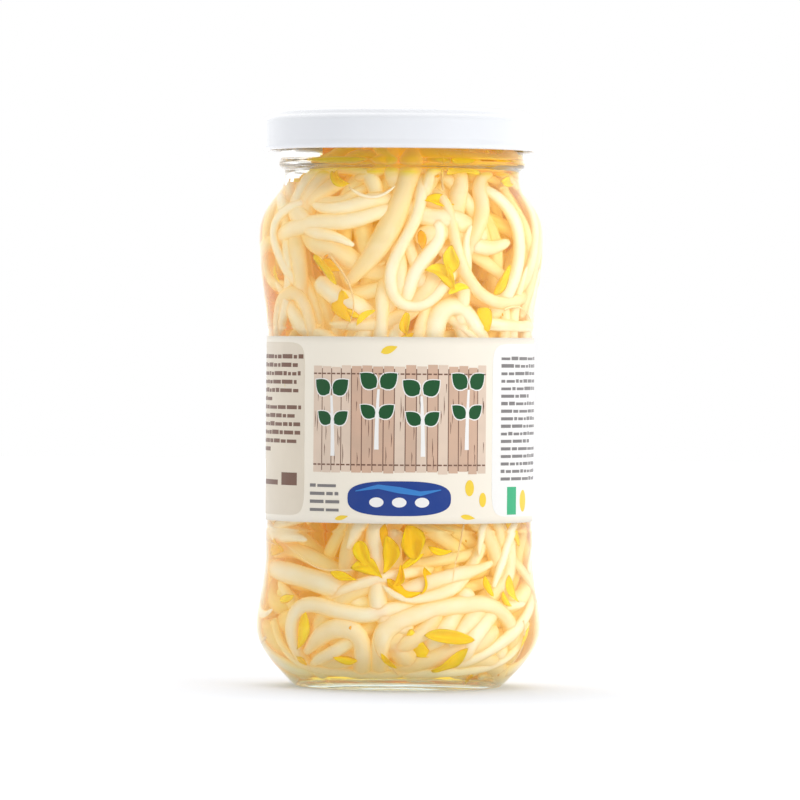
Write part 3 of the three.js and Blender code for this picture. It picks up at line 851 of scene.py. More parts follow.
# Sprouts that show at the front, as they look through the round wall: radius, how far behind the
# wall, whether the first and the last end dive into the tangle, and the places passed, across and up.
FRONT_SPROUTS = [
    (2.6, 0, 1, 0, [(2.2, 125), (0.5, 116.5), (-2.4, 109.8), (-6.4, 103.0), (-12.2, 96.3)]),
    (1.4, 0, 1, 1, [(5.0, 117.9), (4.1, 112.0), (1.2, 106.6), (-1.9, 101.2), (-2.8, 95.8),
                    (-1.3, 91.6), (3.2, 90.2), (7.7, 92.0), (10.3, 95.8)]),
    (2.5, 3, 1, 1, [(8.8, 115.2), (7.5, 109.8), (6.2, 104.4), (4.0, 99.0), (2.2, 95.4)]),
    (1.4, 0, 1, 1, [(11.6, 111.1), (12.7, 105.7), (14.4, 99.4), (17.5, 94.9), (21.6, 92.2), (27.5, 92.7)]),
    (2.0, 0, 1, 1, [(23.2, 115.6), (26.9, 111.1), (28.0, 105.7), (27.2, 99.4), (25.2, 94.0)]),
    (1.9, 3, 1, 1, [(16.9, 112.9), (20.6, 108.4), (21.8, 103.0), (22.9, 97.2)]),
    (1.7, 0, 1, 1, [(-25.5, 108.9), (-20.4, 110.0), (-14.1, 110.2), (-8.7, 111.1), (-5.1, 112.5)]),
    (2.4, 3, 1, 1, [(-20.0, 118.3), (-20.4, 112.9), (-18.8, 108.0), (-17.6, 102.6)]),
    (1.4, 0, 1, 1, [(-26.0, 113.4), (-29.4, 111.6), (-30.9, 107.5), (-28.9, 103.5), (-27.0, 99.4)]),
    (1.5, 0, 1, 1, [(-29.6, 84.1), (-29.2, 90.4), (-26.6, 94.9), (-23.4, 94.0), (-21.6, 89.5),
                    (-20.6, 83.7)]),
    (1.9, 3, 1, 1, [(-12.6, 93.1), (-7.7, 94.5), (-2.3, 95.8), (3.1, 96.7)]),
    (1.7, 0, 1, 1, [(-4.0, 90.9), (-4.4, 86.8), (-5.1, 82.3)]),
    (2.2, 0, 1, 1, [(7.7, 82.8), (7.9, 88.2), (10.4, 91.8), (13.5, 91.8), (16.7, 88.2), (19.4, 83.2)]),
    (1.6, 3, 1, 1, [(15.3, 94.5), (21.2, 91.8), (26.6, 90.0), (32.0, 89.5)]),
    (1.4, 0, 1, 1, [(22.6, 86.8), (27.5, 86.6), (32.0, 87.3)]),
    (1.8, 3, 1, 1, [(9.7, 121.0), (12.9, 116.5), (16.5, 112.9), (19.7, 108.9)]),
    (1.7, 3, 1, 1, [(-10.5, 116.5), (-12.3, 113.8), (-16.3, 112.9), (-20.9, 114.3)]),
    (1.4, 3, 1, 1, [(14.3, 104.8), (17.5, 103.0), (21.5, 100.8), (24.3, 97.6)]),
    (1.8, 3, 1, 1, [(-7.6, 89.5), (-10.3, 85.9), (-12.1, 82.3)]),
    (1.8, 0, 1, 1, [(29.5, 116.5), (31.4, 112.0), (31.8, 106.6), (31.0, 101.2)]),
    (1.4, 3, 1, 1, [(-32.9, 104.8), (-32.4, 100.3), (-30.6, 96.7), (-27.5, 95.8)]),
    (1.6, 3, 1, 1, [(7.4, 121.9), (6.6, 118.3), (6.1, 114.7)]),
    (0.45, 0, 0, 0, [(-12.3, 118.2), (-10.6, 116.3), (-7.0, 115.1), (-3.4, 116.1), (-1.6, 118.8)]),
    (1.4, 3, 1, 1, [(-24.4, 103.0), (-23.9, 97.6), (-20.7, 94.0), (-19.3, 88.6), (-18.8, 83.2)]),
    (2.0, 0, 0, 1, [(-21.4, 9.0), (-19.8, 12.1), (-16.5, 14.6), (-12.9, 16.0), (-9.7, 15.3), (-7.9, 12.6),
                    (-8.5, 8.6)]),
    (1.9, 0, 1, 1, [(-24.8, 12.1), (-25.5, 15.7), (-23.7, 19.1), (-19.6, 20.2), (-14.2, 18.7), (-7.9, 17.5),
                    (-1.6, 18.0)]),
    (2.1, 0, 1, 1, [(-2.5, 12.6), (-3.2, 15.3), (-0.7, 17.5), (4.7, 18.9), (12.3, 19.8), (19.0, 20.0),
                    (23.6, 19.3), (25.8, 16.6)]),
    (3.5, 0, 1, 0, [(-1.4, 15.3), (0.7, 10.4), (3.9, 6.8), (5.7, 5.1)]),
    (1.8, 0, 1, 0, [(3.7, 24.3), (9.1, 26.1), (15.4, 27.9), (22.1, 29.7)]),
    (1.4, 3, 1, 1, [(5.5, 29.9), (11.8, 31.3), (19.4, 33.1)]),
    (2.6, 0, 1, 1, [(-27.8, 27.4), (-21.9, 26.1), (-15.6, 23.8), (-10.7, 21.6)]),
    (1.4, 0, 1, 1, [(-11.1, 24.1), (-6.2, 25.6), (-0.8, 27.2)]),
    (1.6, 0, 0, 1, [(-11.9, 33.7), (-10.8, 36.9), (-8.6, 41.0)]),
    (1.4, 3, 1, 1, [(-15.7, 34.2), (-13.5, 37.3), (-11.7, 40.5)]),
    (1.4, 0, 0, 1, [(22.4, 24.3), (24.1, 29.7), (25.7, 35.1), (27.9, 41.0)]),
    (1.4, 3, 1, 1, [(12.8, 16.2), (19.1, 16.6), (26.3, 15.5)]),
    (1.4, 0, 1, 1, [(18.7, 8.6), (23.2, 11.7), (28.1, 14.8), (31.2, 18.4)]),
    (1.9, 3, 1, 1, [(-28.3, 32.4), (-23.4, 33.3), (-18.8, 31.5), (-15.2, 28.8)]),
    (1.6, 3, 1, 1, [(-9.6, 6.3), (-4.2, 5.9), (1.2, 5.5), (6.6, 5.5)]),
    (1.3, 0, 1, 1, [(-22, 6.4), (-15, 5.2), (-8, 4.7), (-1, 4.6)]),
    (1.3, 0, 1, 1, [(2, 4.6), (9, 4.8), (16, 5.4), (23, 6.8)]),
    (1.4, 3, 1, 1, [(12.7, 22.9), (18.1, 24.7), (21.7, 25.2)]),
    (1.7, 3, 1, 1, [(8.1, 37.3), (11.7, 36.0), (12.6, 34.2)]),
    (1.6, 3, 1, 1, [(29.7, 36.4), (28.0, 31.9), (28.0, 27.0)]),
    (1.4, 0, 0, 1, [(-20.0, 6.2), (-19.1, 7.9), (-15.9, 9.0)]),
    (1.6, 3, 1, 1, [(-27.4, 39.1), (-24.3, 36.9), (-22.5, 34.2)]),
    (1.6, 3, 1, 1, [(16.9, 12.1), (21.8, 13.0), (27.2, 13.0)]),
    (1.8, 3, 1, 1, [(-6.3, 34.6), (-5.8, 31.5), (-7.1, 28.3)]),
]
# Seed leaves that show at the front: across, up, half length, half width, lean from level in degrees.
FRONT_LEAVES = [
    (-14.6, 120.4, 3.2, 1.4, -20), (11.2, 101.2, 3.9, 2.1, 60), (-13.5, 90.9, 4.1, 2.5, -60),
    (-8.5, 88.9, 3.0, 0.8, 30), (-17.1, 100.1, 4.6, 1.0, -55), (0.5, 86.8, 2.8, 1.3, -80),
    (20.1, 88.2, 3.4, 2.1, -60), (14.6, 123.7, 4.6, 1.8, 0), (-29.1, 98.5, 2.1, 0.6, -75),
    (9.4, 98.5, 4.4, 1.8, -35), (13.0, 95.8, 2.8, 1.0, -5), (-11.2, 89.1, 2.3, 0.9, -40),
    (25.0, 120.1, 2.8, 1.8, -10), (3.2, 35.1, 4.2, 3.0, -70), (-2.4, 32.2, 4.6, 2.1, -88),
    (-6.8, 28.8, 4.0, 2.1, -20), (-12.9, 26.1, 3.7, 1.1, -40), (1.5, 23.8, 4.4, 1.6, -10),
    (9.5, 33.3, 3.0, 0.9, -10), (26.4, 23.8, 3.7, 1.4, -70), (11.9, 13.0, 6.4, 1.6, -5),
    (12.4, 8.1, 5.0, 2.1, 25), (-26.4, 20.7, 2.8, 1.1, -5), (-12.3, 7.6, 3.0, 1.2, -10),
    (-22.7, 7.9, 1.6, 1.0, -30), (0.1, 27.0, 2.8, 1.0, 60), (-3.6, 36.4, 3.2, 1.1, -85),
    (21.3, 24.7, 2.8, 1.0, -60), (29.5, 13.0, 2.8, 0.7, 60), (-8.2, 32.4, 3.4, 1.9, -65),
    (2.8, 31.0, 3.2, 0.9, 50), (25.3, 21.1, 2.3, 0.9, -80), (-2.4, 8.8, 2.8, 0.8, -30),
]
# A large fleck of seed coat there: the places passed, half length and half width.
FRONT_FLECK = ([(5.0, 108), (5.1, 106.4), (5.0, 104.8)], (2.3, 1.1))
BRINE_IOR = 1.333  # bends what is seen through the wall
GLASS_WALL = 2.3


class Packing:
    """The inside of the jar up to the heap, as a line from the floor's middle to the top's middle."""

    CELL = 0.5

    def __init__(self):
        heap = bend((NECK_BORE, NECK_BORE_HEIGHT), (NECK_BORE, 130.5), (17, HEAP_TOP), (0, HEAP_TOP), 200)
        wall = inner_wall(120)
        self.line = np.array([*wall, *heap])
        steps = np.diff(self.line, axis=0)
        self.reach = np.concatenate([[0], np.cumsum(np.hypot(*steps.T))])
        self.length = self.reach[-1]
        self.measure()

    def measure(self):
        """A grid over (radius, height) of how far inside the wall each place is, and which way is in."""
        self.radii = np.arange(0, 37, self.CELL)
        self.heights = np.arange(0, 140, self.CELL)
        places = np.stack(np.meshgrid(self.radii, self.heights, indexing="ij"), -1).reshape(-1, 2)
        line = self.line[::4]
        start, along = line[:-1], np.diff(line, axis=0)
        nearest = np.full(len(places), 1e9)
        side = np.zeros(len(places))
        for a, ab in zip(start, along):
            size = max(ab @ ab, 1e-12)
            ap = places - a
            t = np.clip(ap @ ab / size, 0, 1)
            gap = np.hypot(*(ap - t[:, None] * ab).T)
            closer = gap < nearest - 1e-9
            nearest = np.where(closer, gap, nearest)
            side = np.where(closer, ab[0] * ap[:, 1] - ab[1] * ap[:, 0], side)
        depths = (nearest * np.sign(side)).reshape(len(self.radii), len(self.heights))
        self.grid = np.stack([depths, *np.gradient(depths, self.CELL)], -1)

    def inside(self, points):
        """How deep inside the wall each point lies, and the way further in."""
        radius = np.maximum(np.hypot(points[:, 0], points[:, 1]), 1e-6)
        fr = np.clip(radius / self.CELL, 0, len(self.radii) - 1.001)
        fz = np.clip(points[:, 2] / self.CELL, 0, len(self.heights) - 1.001)
        i, j = fr.astype(int), fz.astype(int)
        u, v = (fr - i)[:, None], (fz - j)[:, None]
        low = self.grid[i, j] * (1 - u) + self.grid[i + 1, j] * u
        high = self.grid[i, j + 1] * (1 - u) + self.grid[i + 1, j + 1] * u
        depth, run, rise = (low * (1 - v) + high * v).T
        return depth, unit(np.stack([run * points[:, 0] / radius, run * points[:, 1] / radius, rise], -1))

    def at(self, share, depth):
        """The place at a share of the line's length and a depth, and the line's way there."""
        wanted = min(max(share, 0), 1) * self.length
        k = min(int(np.searchsorted(self.reach, wanted, side="right")), len(self.line) - 1)
        along = self.line[k] - self.line[k - 1]
        t = (wanted - self.reach[k - 1]) / (self.reach[k] - self.reach[k - 1])
        place = self.line[k - 1] + t * along
        along = along / np.hypot(*along)
        return max(place[0] - along[1] * depth, 0), place[1] + along[0] * depth, along

    def spot(self, share, angle, depth):
        """The point there at an angle round the jar, with the ways out of the wall and up along it."""
        radius, height, (run, rise) = self.at(share, depth)

        def turn(x, z):
            return np.array([x * math.sin(angle), -x * math.cos(angle), z])

        return turn(radius, height), turn(rise, -run), turn(run, rise)

    def seen(self, across, up, depth):
        """The point that shows at a place across and up from the front, through the round wall."""
        wall = self.line[self.line[:, 1] > self.line[0, 1]]
        inner = np.interp(up, wall[:, 1], wall[:, 0])
        outer = inner + GLASS_WALL
        enters = math.asin(np.clip(across / outer, -0.98, 0.98))
        bent = math.asin(math.sin(enters) / BRINE_IOR)
        lies = math.asin(np.clip(math.sin(bent) * outer / (inner - depth), -0.98, 0.98))
        angle = enters + lies - bent
        return np.array([math.sin(angle), -math.cos(angle), 0]) * (inner - depth) + np.array([0, 0, up])

    def even_shares(self, count):
        """Shares of the line that spread pieces evenly over the turned surface."""
        samples = 200
        radii = [self.at((i - 0.5) / samples, 0)[0] for i in range(1, samples + 1)]
        sums = np.concatenate([[0], np.cumsum(radii)])
        wanted = (np.arange(count) + 0.5) / count * sums[-1]
        return [float(np.argmax(sums > w)) / samples for w in wanted]


PACKING = Packing()


def air_pocket(points):
    """How deep trapped air reaches in from the wall at each point: a ragged pocket in the neck."""
    angles = np.degrees(np.arctan2(points[:, 0], -points[:, 1]))
    ragged = 0.9 * np.sin(angles * 0.31) + 0.6 * np.sin(angles * 0.83 + 1)
    angle, half_angle, bottom, top, depth = AIR_POCKET
    heights = points[:, 2]
    swing = 2.4 * (heights - bottom - 5) + 2.0 * np.sin(heights * 1.7)
    side = np.clip(1 - ((angles - angle) / np.maximum(half_angle + swing, 4)) ** 2, 0, 1)
    rise = np.clip((heights - bottom - ragged - (1 - side) * 5) / 1.6, 0, 1)
    fall = np.clip((top + ragged - (1 - side) * 3 - heights) / 1.2, 0, 1)
    beads = 0.78 - 0.3 * np.cos(1.37 * (heights - 124.2)) + 0.12 * np.sin(heights * 4.1)
    return depth * side**0.5 * rise * fall * beads


def wall_gap(points):
    """How far the strands stay off the wall: a film of brine, more of it in the neck, and the air."""
    neck = NECK_GAP * np.clip((points[:, 2] - 119) / 4, 0, 1)
    pocket = air_pocket(points)
    return WALL_FILM + np.maximum(neck, pocket + 0.4 * (pocket > 0))


class Strand:
    """A sprout, a thread, a leaf or a fleck: a row of points with a radius at each. While it settles, hold
    draws it to its first place, press to the wall, and a high heft lets it give less. The head says where
    a seed leaf goes, the ends which of them dive, and the size is a leaf's half length and half width."""

    def __init__(self, kind, points, radii, hold=0.0, press=0.0, heft=1.0, head=None, ends=None, size=None):
        self.kind = kind
        self.points = np.array(points)
        self.radii = np.array(radii)
        self.hold = hold
        self.press = press
        self.heft = heft
        self.head = head
        self.ends = ends
        self.size = size


def smooth_line(points, spacing):
    """Points a given spacing apart on a smooth curve through the given ones."""
    p = np.array(points)
    p = np.vstack([2 * p[0] - p[1], p, 2 * p[-1] - p[-2]])
    fine = []
    for a, b, c, d in zip(p, p[1:], p[2:], p[3:]):
        t = np.linspace(0, 1, 9)[:-1, None]
        fine.append(0.5 * (2 * b + (c - a) * t + (2 * a - 5 * b + 4 * c - d) * t**2
                           + (3 * b - a - 3 * c + d) * t**3))
    fine = np.vstack([*fine, p[-2][None]])
    reach = np.concatenate([[0], np.cumsum(np.linalg.norm(np.diff(fine, axis=0), axis=1))])
    count = max(int(round(reach[-1] / spacing)), 2)
    marks = np.linspace(0, reach[-1], count + 1)
    return np.stack([np.interp(marks, reach, fine[:, k]) for k in range(3)], -1)


def sprout_radii(count, radius):
    """The room that a sprout takes up along its length while the bunch settles."""
    t = np.linspace(0, 1, count)
    return radius * (0.45 + 0.55 * np.minimum(1, t * 4) + 0.12 * t**4)


def turn_back(share, heading):
    """A turn that leads a sprout away from the two ends of the packing line."""
    climbing = math.sin(heading)
    if not ((share > HIGHEST_SHARE and climbing > 0) or (share < LOWEST_SHARE and climbing < 0)):
        return 0
    return math.copysign(1.3, -math.cos(heading) * climbing)


def step_on(share, angle, heading, stride):
    """One stride over the packing surface: the next share and angle."""
    radius = max(PACKING.at(share, 0)[0], 6)
    return share + math.sin(heading) * stride / PACKING.length, angle + math.cos(heading) * stride / radius


def leading_sprouts():
    """The sprouts of the solids, by the same rule, each with the place and the way of its head."""
    draw = random_source(SEED)
    made = []
    for i, share in enumerate(PACKING.even_shares(SPROUTS)):
        angle = i * GOLDEN_TURN
        radius = 1.75 + 0.45 * draw()
        length = 38 + 26 * draw()
        depth = radius + 1.0 + 0.7 * draw()
        stride = length / LEADING_STEPS
        curl = (draw() - 0.5) * 0.1
        side = -1 if draw() < 0.5 else 1
        hook = side * (0.04 + 0.1 * draw())
        heading = draw() * 2 * math.pi
        points = []
        for k in range(LEADING_STEPS + 1):
            t = k / LEADING_STEPS
            dive = ROOT_DIVE * max(0, 1 - t / DIVE_SHARE)
            points.append(PACKING.spot(share, angle, depth + dive)[0])
            heading += turn_back(share, heading) or (curl + hook * t**3) * stride
            if k < LEADING_STEPS:
                share, angle = step_on(share, angle, heading, stride)
        line = smooth_line(points, STRIDE)
        made.append(Strand("sprout", line, sprout_radii(len(line), radius), hold=0.05, press=0.03,
                           head=(share, angle, heading)))
    return made


def leaf_bearers(leading):
    """Every other leading sprout carries a seed leaf, where no other leaf is near."""
    kept = []
    for sprout in leading[1::2]:
        head = sprout.points[-1]
        if len(kept) < SEED_LEAVES and all(np.linalg.norm(k.points[-1] - head) >= LEAF_SPACING for k in kept):
            kept.append(sprout)
    return kept


def leaf_on(sprout):
    """The seed leaf just beyond a sprout's head."""
    share, angle, heading = sprout.head
    point, out, up = PACKING.spot(share, angle, LEAF_DEPTH)
    ahead = np.cross(up, out) * math.cos(heading) + up * math.sin(heading)
    centre = point + ahead * LEAF_HALF_LENGTH * 0.75
    points = [centre + ahead * reach for reach in (-2.4, 0, 2.4)]
    return Strand("held leaf", points, [1.5, 1.7, 1.5], hold=0.3, press=0.02)


def loose_walk(draw, share, angle, length, depth, calm=1.0):
    """Points of a strand that winds over the packing surface, in and out of it a little."""
    heading = draw() * 2 * math.pi
    curl = (draw() - 0.5) * 0.13 * calm
    side = -1 if draw() < 0.5 else 1
    hook = side * (0.02 + 0.16 * draw()) * calm
    sway, swing = 0.06 * draw() * calm, draw() * 2 * math.pi
    wobble, phase = 1.6 * draw(), draw() * 2 * math.pi
    count = int(length / STRIDE)
    points = []
    for k in range(count + 1):
        t = k / count
        lift = wobble * math.sin(phase + t * 7)
        points.append(PACKING.spot(share, angle, max(depth + lift, 1.5))[0])
        turn = (curl + hook * t**3 + sway * math.sin(swing + t * 8)) * STRIDE
        heading += turn_back(share, heading) or turn
        share, angle = step_on(share, angle, heading, STRIDE)
    return points


def loose_strands():
    """The rest of the tangle, layer by layer, with seed leaves, root threads and flecks near the wall."""
    draw = random_source(SEED + 1)
    made = []
    for layer, (depth, count) in enumerate(LAYERS):
        for i, share in enumerate(PACKING.even_shares(count)):
            radius = 1.3 + 0.9 * draw()
            length = 34 + 36 * draw()
            points = loose_walk(draw, share, i * GOLDEN_TURN + layer, length, depth + draw())
            press = 0.04 if layer == 0 else 0.01
            made.append(Strand("sprout", points, sprout_radii(len(points), radius), press=press))
    for i, share in enumerate(PACKING.even_shares(LOOSE_LEAVES)):
        points = loose_walk(draw, share, i * GOLDEN_TURN + 2.2, 7.5, 2.2, calm=0)[:3]
        made.append(Strand("loose leaf", points, [1.2, 1.5, 1.2], press=0.08))
    for i, share in enumerate(PACKING.even_shares(ROOT_THREADS)):
        points = loose_walk(draw, share, i * GOLDEN_TURN + 4.1, 14 + 18 * draw(), 1.6)
        made.append(Strand("thread", points, np.full(len(points), 0.35), press=0.06))
    for i, share in enumerate(PACKING.even_shares(FLECKS)):
        half = 0.35 + 0.5 * draw() ** 2
        spot, out, up = PACKING.spot(share, i * GOLDEN_TURN + 5.0, 0.4)
        way = (up * math.cos(7 * half) + np.cross(up, out) * math.sin(7 * half)) * half * 0.6
        made.append(Strand("speck", [spot - way, spot, spot + way], [0.2] * 3, hold=0.3, press=0.1,
                           heft=0.2, size=(half, half * 0.6)))
    return made


def front_strands():
    """The sprouts, the seed leaves and the fleck whose places at the front are given."""
    made = []
    for radius, behind, dives_first, dives_last, places in FRONT_SPROUTS:
        depth = radius + WALL_FILM + behind
        points = [PACKING.seen(x, z, depth) for x, z in places]
        line = smooth_line(points, STRIDE)
        for dives, end, before in ((dives_first, 0, 2), (dives_last, -1, -3)):
            if not dives:
                continue
            way = unit(line[end] - line[before])
            inward = PACKING.inside(line[end][None])[1][0]
            tail = [line[end] + way * STRIDE * k + inward * FRONT_DIVE * k * k for k in (1, 2, 3, 4)]
            line = np.vstack([tail[::-1], line]) if end == 0 else np.vstack([line, tail])
        radii = np.full(len(line), radius * 0.97)
        made.append(Strand("sprout", line, radii, hold=0.25, press=0.03 if not behind else 0.0, heft=6.0,
                           ends=(dives_first, dives_last)))
    for across, up, half_long, half_wide, lean in FRONT_LEAVES:
        c, s = leaning(lean)
        steps = (-0.6 * half_long, 0, 0.6 * half_long)
        points = [PACKING.seen(across + step * c, up + step * s, 0.9) for step in steps]
        made.append(Strand("front leaf", points, [0.8, 1.1, 0.8], hold=0.3, press=0.04, heft=4.0,
                           size=(half_long, half_wide)))
    places, size = FRONT_FLECK
    fleck = [PACKING.seen(across, up, 0.3) for across, up in places]
    made.append(Strand("speck", fleck, [0.2] * 3, hold=0.4, press=0.1, size=size))
    return made


def near_pairs(points, reach):
    """Pairs of points closer than about the reach, found on a grid of cells."""
    cells = np.floor(points / reach).astype(np.int64)
    cells -= cells.min(axis=0) - 1
    sizes = cells.max(axis=0) + 2
    keys = (cells[:, 0] * sizes[1] + cells[:, 1]) * sizes[2] + cells[:, 2]
    order = np.argsort(keys, kind="stable")
    ranked = keys[order]
    first, second = [], []
    for dx, dy, dz in itertools.product((-1, 0, 1), repeat=3):
        if (dx, dy, dz) < (0, 0, 0):
            continue
        wanted = keys + (dx * sizes[1] + dy) * sizes[2] + dz
        start = np.searchsorted(ranked, wanted, "left")
        count = np.searchsorted(ranked, wanted, "right") - start
        ones = np.repeat(np.arange(len(points)), count)
        steps = np.arange(count.sum()) - np.repeat(np.cumsum(count) - count, count)
        others = order[np.repeat(start, count) + steps]
        if (dx, dy, dz) == (0, 0, 0):
            keep = ones < others
            ones, others = ones[keep], others[keep]
        first.append(ones)
        second.append(others)
    return np.concatenate(first), np.concatenate(second)


ROUNDS = 170
PAIRS_EVERY = 6  # rounds from one search for near pairs to the next
PAIR_MARGIN = 0.9  # how far beyond the thickest pair the search's cells reach,
NEAR_MARGIN = 1.6  # and how far beyond touching it keeps a pair
OWN_SPAN = 3  # points of one strand that are no further apart along it don't push each other
TIES = ((1, 1.0), (2, 0.55), (4, 0.5), (7, 0.4))  # points apart along a strand, and how firmly they keep it
LASTING_PRESS = 0.3  # share of the press that is left at the end
ORDER = 0.9  # how firmly what starts nearer the wall stays there
OVERSHOOT = 1.25
SMOOTHINGS = 3


def ties_along(points, owner):
    """Pairs of points of one strand, the length between them, and how firmly they keep it."""
    ties = []
    for gap, firm in TIES:
        a = np.arange(len(points) - gap)
        a = a[owner[a] == owner[a + gap]]
        ties.append((a, a + gap, np.linalg.norm(points[a] - points[a + gap], axis=1), firm))
    return ties


def pushing_pairs(points, radii, owner, place):
    """Pairs of points that touch or soon may, apart from near ones of the same strand."""
    a, b = near_pairs(points, 2 * radii.max() + PAIR_MARGIN)
    apart = (owner[a] != owner[b]) | (np.abs(place[a] - place[b]) > OWN_SPAN)
    close = np.linalg.norm(points[a] - points[b], axis=1) < radii[a] + radii[b] + NEAR_MARGIN
    return a[apart & close], b[apart & close]


def between(points, a, b):
    """The ways from the second points to the first, and how far they are."""
    gap = points[a] - points[b]
    return gap, np.maximum(np.linalg.norm(gap, axis=1), 1e-6)


class Shoves:
    """The moves that the points give each other in one round, of which each takes the mean."""

    def __init__(self, give):
        self.give = give
        self.moves = np.zeros((len(give), 3))
        self.weight = np.zeros(len(give))

    def add(self, a, b, move, weight):
        """Moves the first points, and the second ones the other way; the lighter of two moves more."""
        given = 2 * self.give[a] / (self.give[a] + self.give[b])
        for one, part in ((a, given), (b, given - 2)):
            for k in range(3):
                self.moves[:, k] += np.bincount(one, part * move[:, k], len(self.give))
            self.weight += np.bincount(one, np.full(len(one), weight), len(self.give))

    def mean(self):
        return self.moves / np.maximum(self.weight, 1.0)[:, None]


def settle(strands):
    """Pushes the strands apart and against the wall until they lie packed, each at its own length."""
    points = np.vstack([s.points for s in strands])
    radii = np.concatenate([s.radii for s in strands])
    sizes = [len(s.points) for s in strands]
    owner = np.repeat(np.arange(len(strands)), sizes)
    place = np.concatenate([np.arange(n) for n in sizes])
    heft, hold, press = (np.repeat([getattr(s, part) for s in strands], sizes)
                         for part in ("heft", "hold", "press"))
    hold, press = hold[:, None], press[:, None]
    start = points.copy()
    rank = PACKING.inside(points)[0]
    ties = ties_along(points, owner)
    for turn in range(ROUNDS):
        if turn % PAIRS_EVERY == 0:
            pairs = pushing_pairs(points, radii, owner, place)
        inward = PACKING.inside(points)[1]
        fade = 1 - turn / ROUNDS
        points = points - inward * press * (LASTING_PRESS + fade) + (start - points) * hold * fade
        shoves = Shoves(1 / heft)
        gap, far = between(points, *pairs)
        wanted = radii[pairs[0]] + radii[pairs[1]]
        hit = far < wanted
        a, b = pairs[0][hit], pairs[1][hit]
        lean = np.sign(rank[a] - rank[b])[:, None] * (inward[a] + inward[b]) * 0.5
        way = unit(gap[hit] / far[hit, None] + lean * (ORDER * fade))
        shoves.add(a, b, way * ((wanted - far)[hit, None] * 0.5), 1.0)
        for a, b, length, firm in ties:
            gap, far = between(points, a, b)
            shoves.add(a, b, gap * ((length - far) / far * 0.5 * firm)[:, None], firm)
        points = points + shoves.mean() * OVERSHOOT
        depth, inward = PACKING.inside(points)
        short = np.maximum(radii + wall_gap(points) - depth, 0)
        points = points + inward * short[:, None]
    for strand, line in zip(strands, np.split(points, np.cumsum(sizes)[:-1])):
        for _ in range(SMOOTHINGS):
            line[1:-1] = line[1:-1] * 0.5 + (line[:-2] + line[2:]) * 0.25
        strand.points = line
    return strands


# Strand meshes -----------------------------------------------------------


def carried_frames(line):
    """Directions across a line that turn with it and don't spin about it."""
    along = unit(np.gradient(line, axis=0))
    across = np.zeros_like(along)
    across[0] = unit(np.cross(along[0], (0.31, 0.22, 0.92)))
    for k in range(1, len(line)):
        across[k] = unit(across[k - 1] - along[k] * (across[k - 1] @ along[k]))
    return along, across, np.cross(along, across)


OVAL_SHARE = 0.1
LUMP_SHARE = 0.07


def sprout_tube(line, radii, sides, draw):
    """Points of one sprout's closed skin, ring by ring, with its two end points last."""
    along, across, beside = carried_frames(line)
    count = len(line)
    t = np.linspace(0, 1, count)
    turn = np.arange(sides) * 2 * math.pi / sides
    waves = [(1 + 3 * draw(), 2 * math.pi * draw()) for _ in range(3)]
    lumps = sum(np.sin(2 * math.pi * (rate * t) + phase) / 3 for rate, phase in waves)
    squash, spin = OVAL_SHARE * draw(), 2 * math.pi * draw()
    swell = 1 + LUMP_SHARE * lumps[:, None] + squash * np.cos(2 * (turn[None] + spin + 2.5 * t[:, None]))
    radius = radii[:, None] * swell
    ring = (across[:, None] * (radius * np.cos(turn))[..., None]
            + beside[:, None] * (radius * np.sin(turn))[..., None])
    inward = PACKING.inside(line)[1][:, None]
    ring = line[:, None] + ring - inward * (ring * inward).sum(axis=2, keepdims=True) * PRESSED
    ends = [line[0] - along[0] * radii[0] * 0.45, line[-1] + along[-1] * radii[-1] * 0.45]
    return np.vstack([ring.reshape(-1, 3), ends])


def tube_faces(count, sides, base):
    """Faces of a closed tube whose rings come first and whose two end points come last."""
    faces = []
    for a in range(base, base + (count - 1) * sides, sides):
        for j in range(sides):
            n = (j + 1) % sides
            faces.append((a + j, a + n, a + sides + n, a + sides + j))
    low, high = base + count * sides, base + count * sides + 1
    last = base + (count - 1) * sides
    for j in range(sides):
        n = (j + 1) % sides
        faces.append((base + n, base + j, low))
        faces.append((last + j, last + n, high))
    return faces


SHADE_FROM = 3  # depth in the bunch where the painted amber shade starts,
SHADE_OVER = 9  # and over how much more it grows
NECK_SHADE = (121.5, 2.5)  # the same for height in the neck
FOOT_SHADE = (42, 20, 0.2)  # and down to the foot, with how strong it gets there


def with_flesh_data(made, tones, alongs, turns):
    """Keeps each point's tone and its share of painted amber shade, and its place along and round its strand
    as the
    UV map. Above 1, the painted shade goes on to the painted amber shade of the neck."""
    mesh = made.data
    places = np.zeros(len(mesh.vertices) * 3, np.float32)
    mesh.vertices.foreach_get("co", places)
    depth = PACKING.inside(places.reshape(-1, 3) / MM)[0]
    height = places[2::3] / MM
    # Painted amber shade: more with depth from the glass and towards the foot, most in the neck under the
    # lid.
    in_neck = (0.2 + 2.2 * np.asarray(tones)) * np.clip((height - NECK_SHADE[0]) / NECK_SHADE[1], 0, 1)
    near_foot = FOOT_SHADE[2] * np.clip((FOOT_SHADE[0] - height) / FOOT_SHADE[1], 0, 1)
    painted_deep_shade = np.clip((depth - SHADE_FROM) / SHADE_OVER + near_foot, 0, 1) + in_neck
    for name, values in (("tone", tones), ("depth", painted_deep_shade)):
        kept = mesh.attributes.new(name, "FLOAT", "POINT")
        kept.data.foreach_set("value", np.asarray(values, np.float32))
    corners = np.zeros(len(mesh.loops), np.int32)
    mesh.loops.foreach_get("vertex_index", corners)
    uv = np.stack([np.asarray(turns)[corners], np.asarray(alongs)[corners]], -1)
    mesh.uv_layers.new(name="place").data.foreach_set("uv", uv.astype(np.float32).ravel())


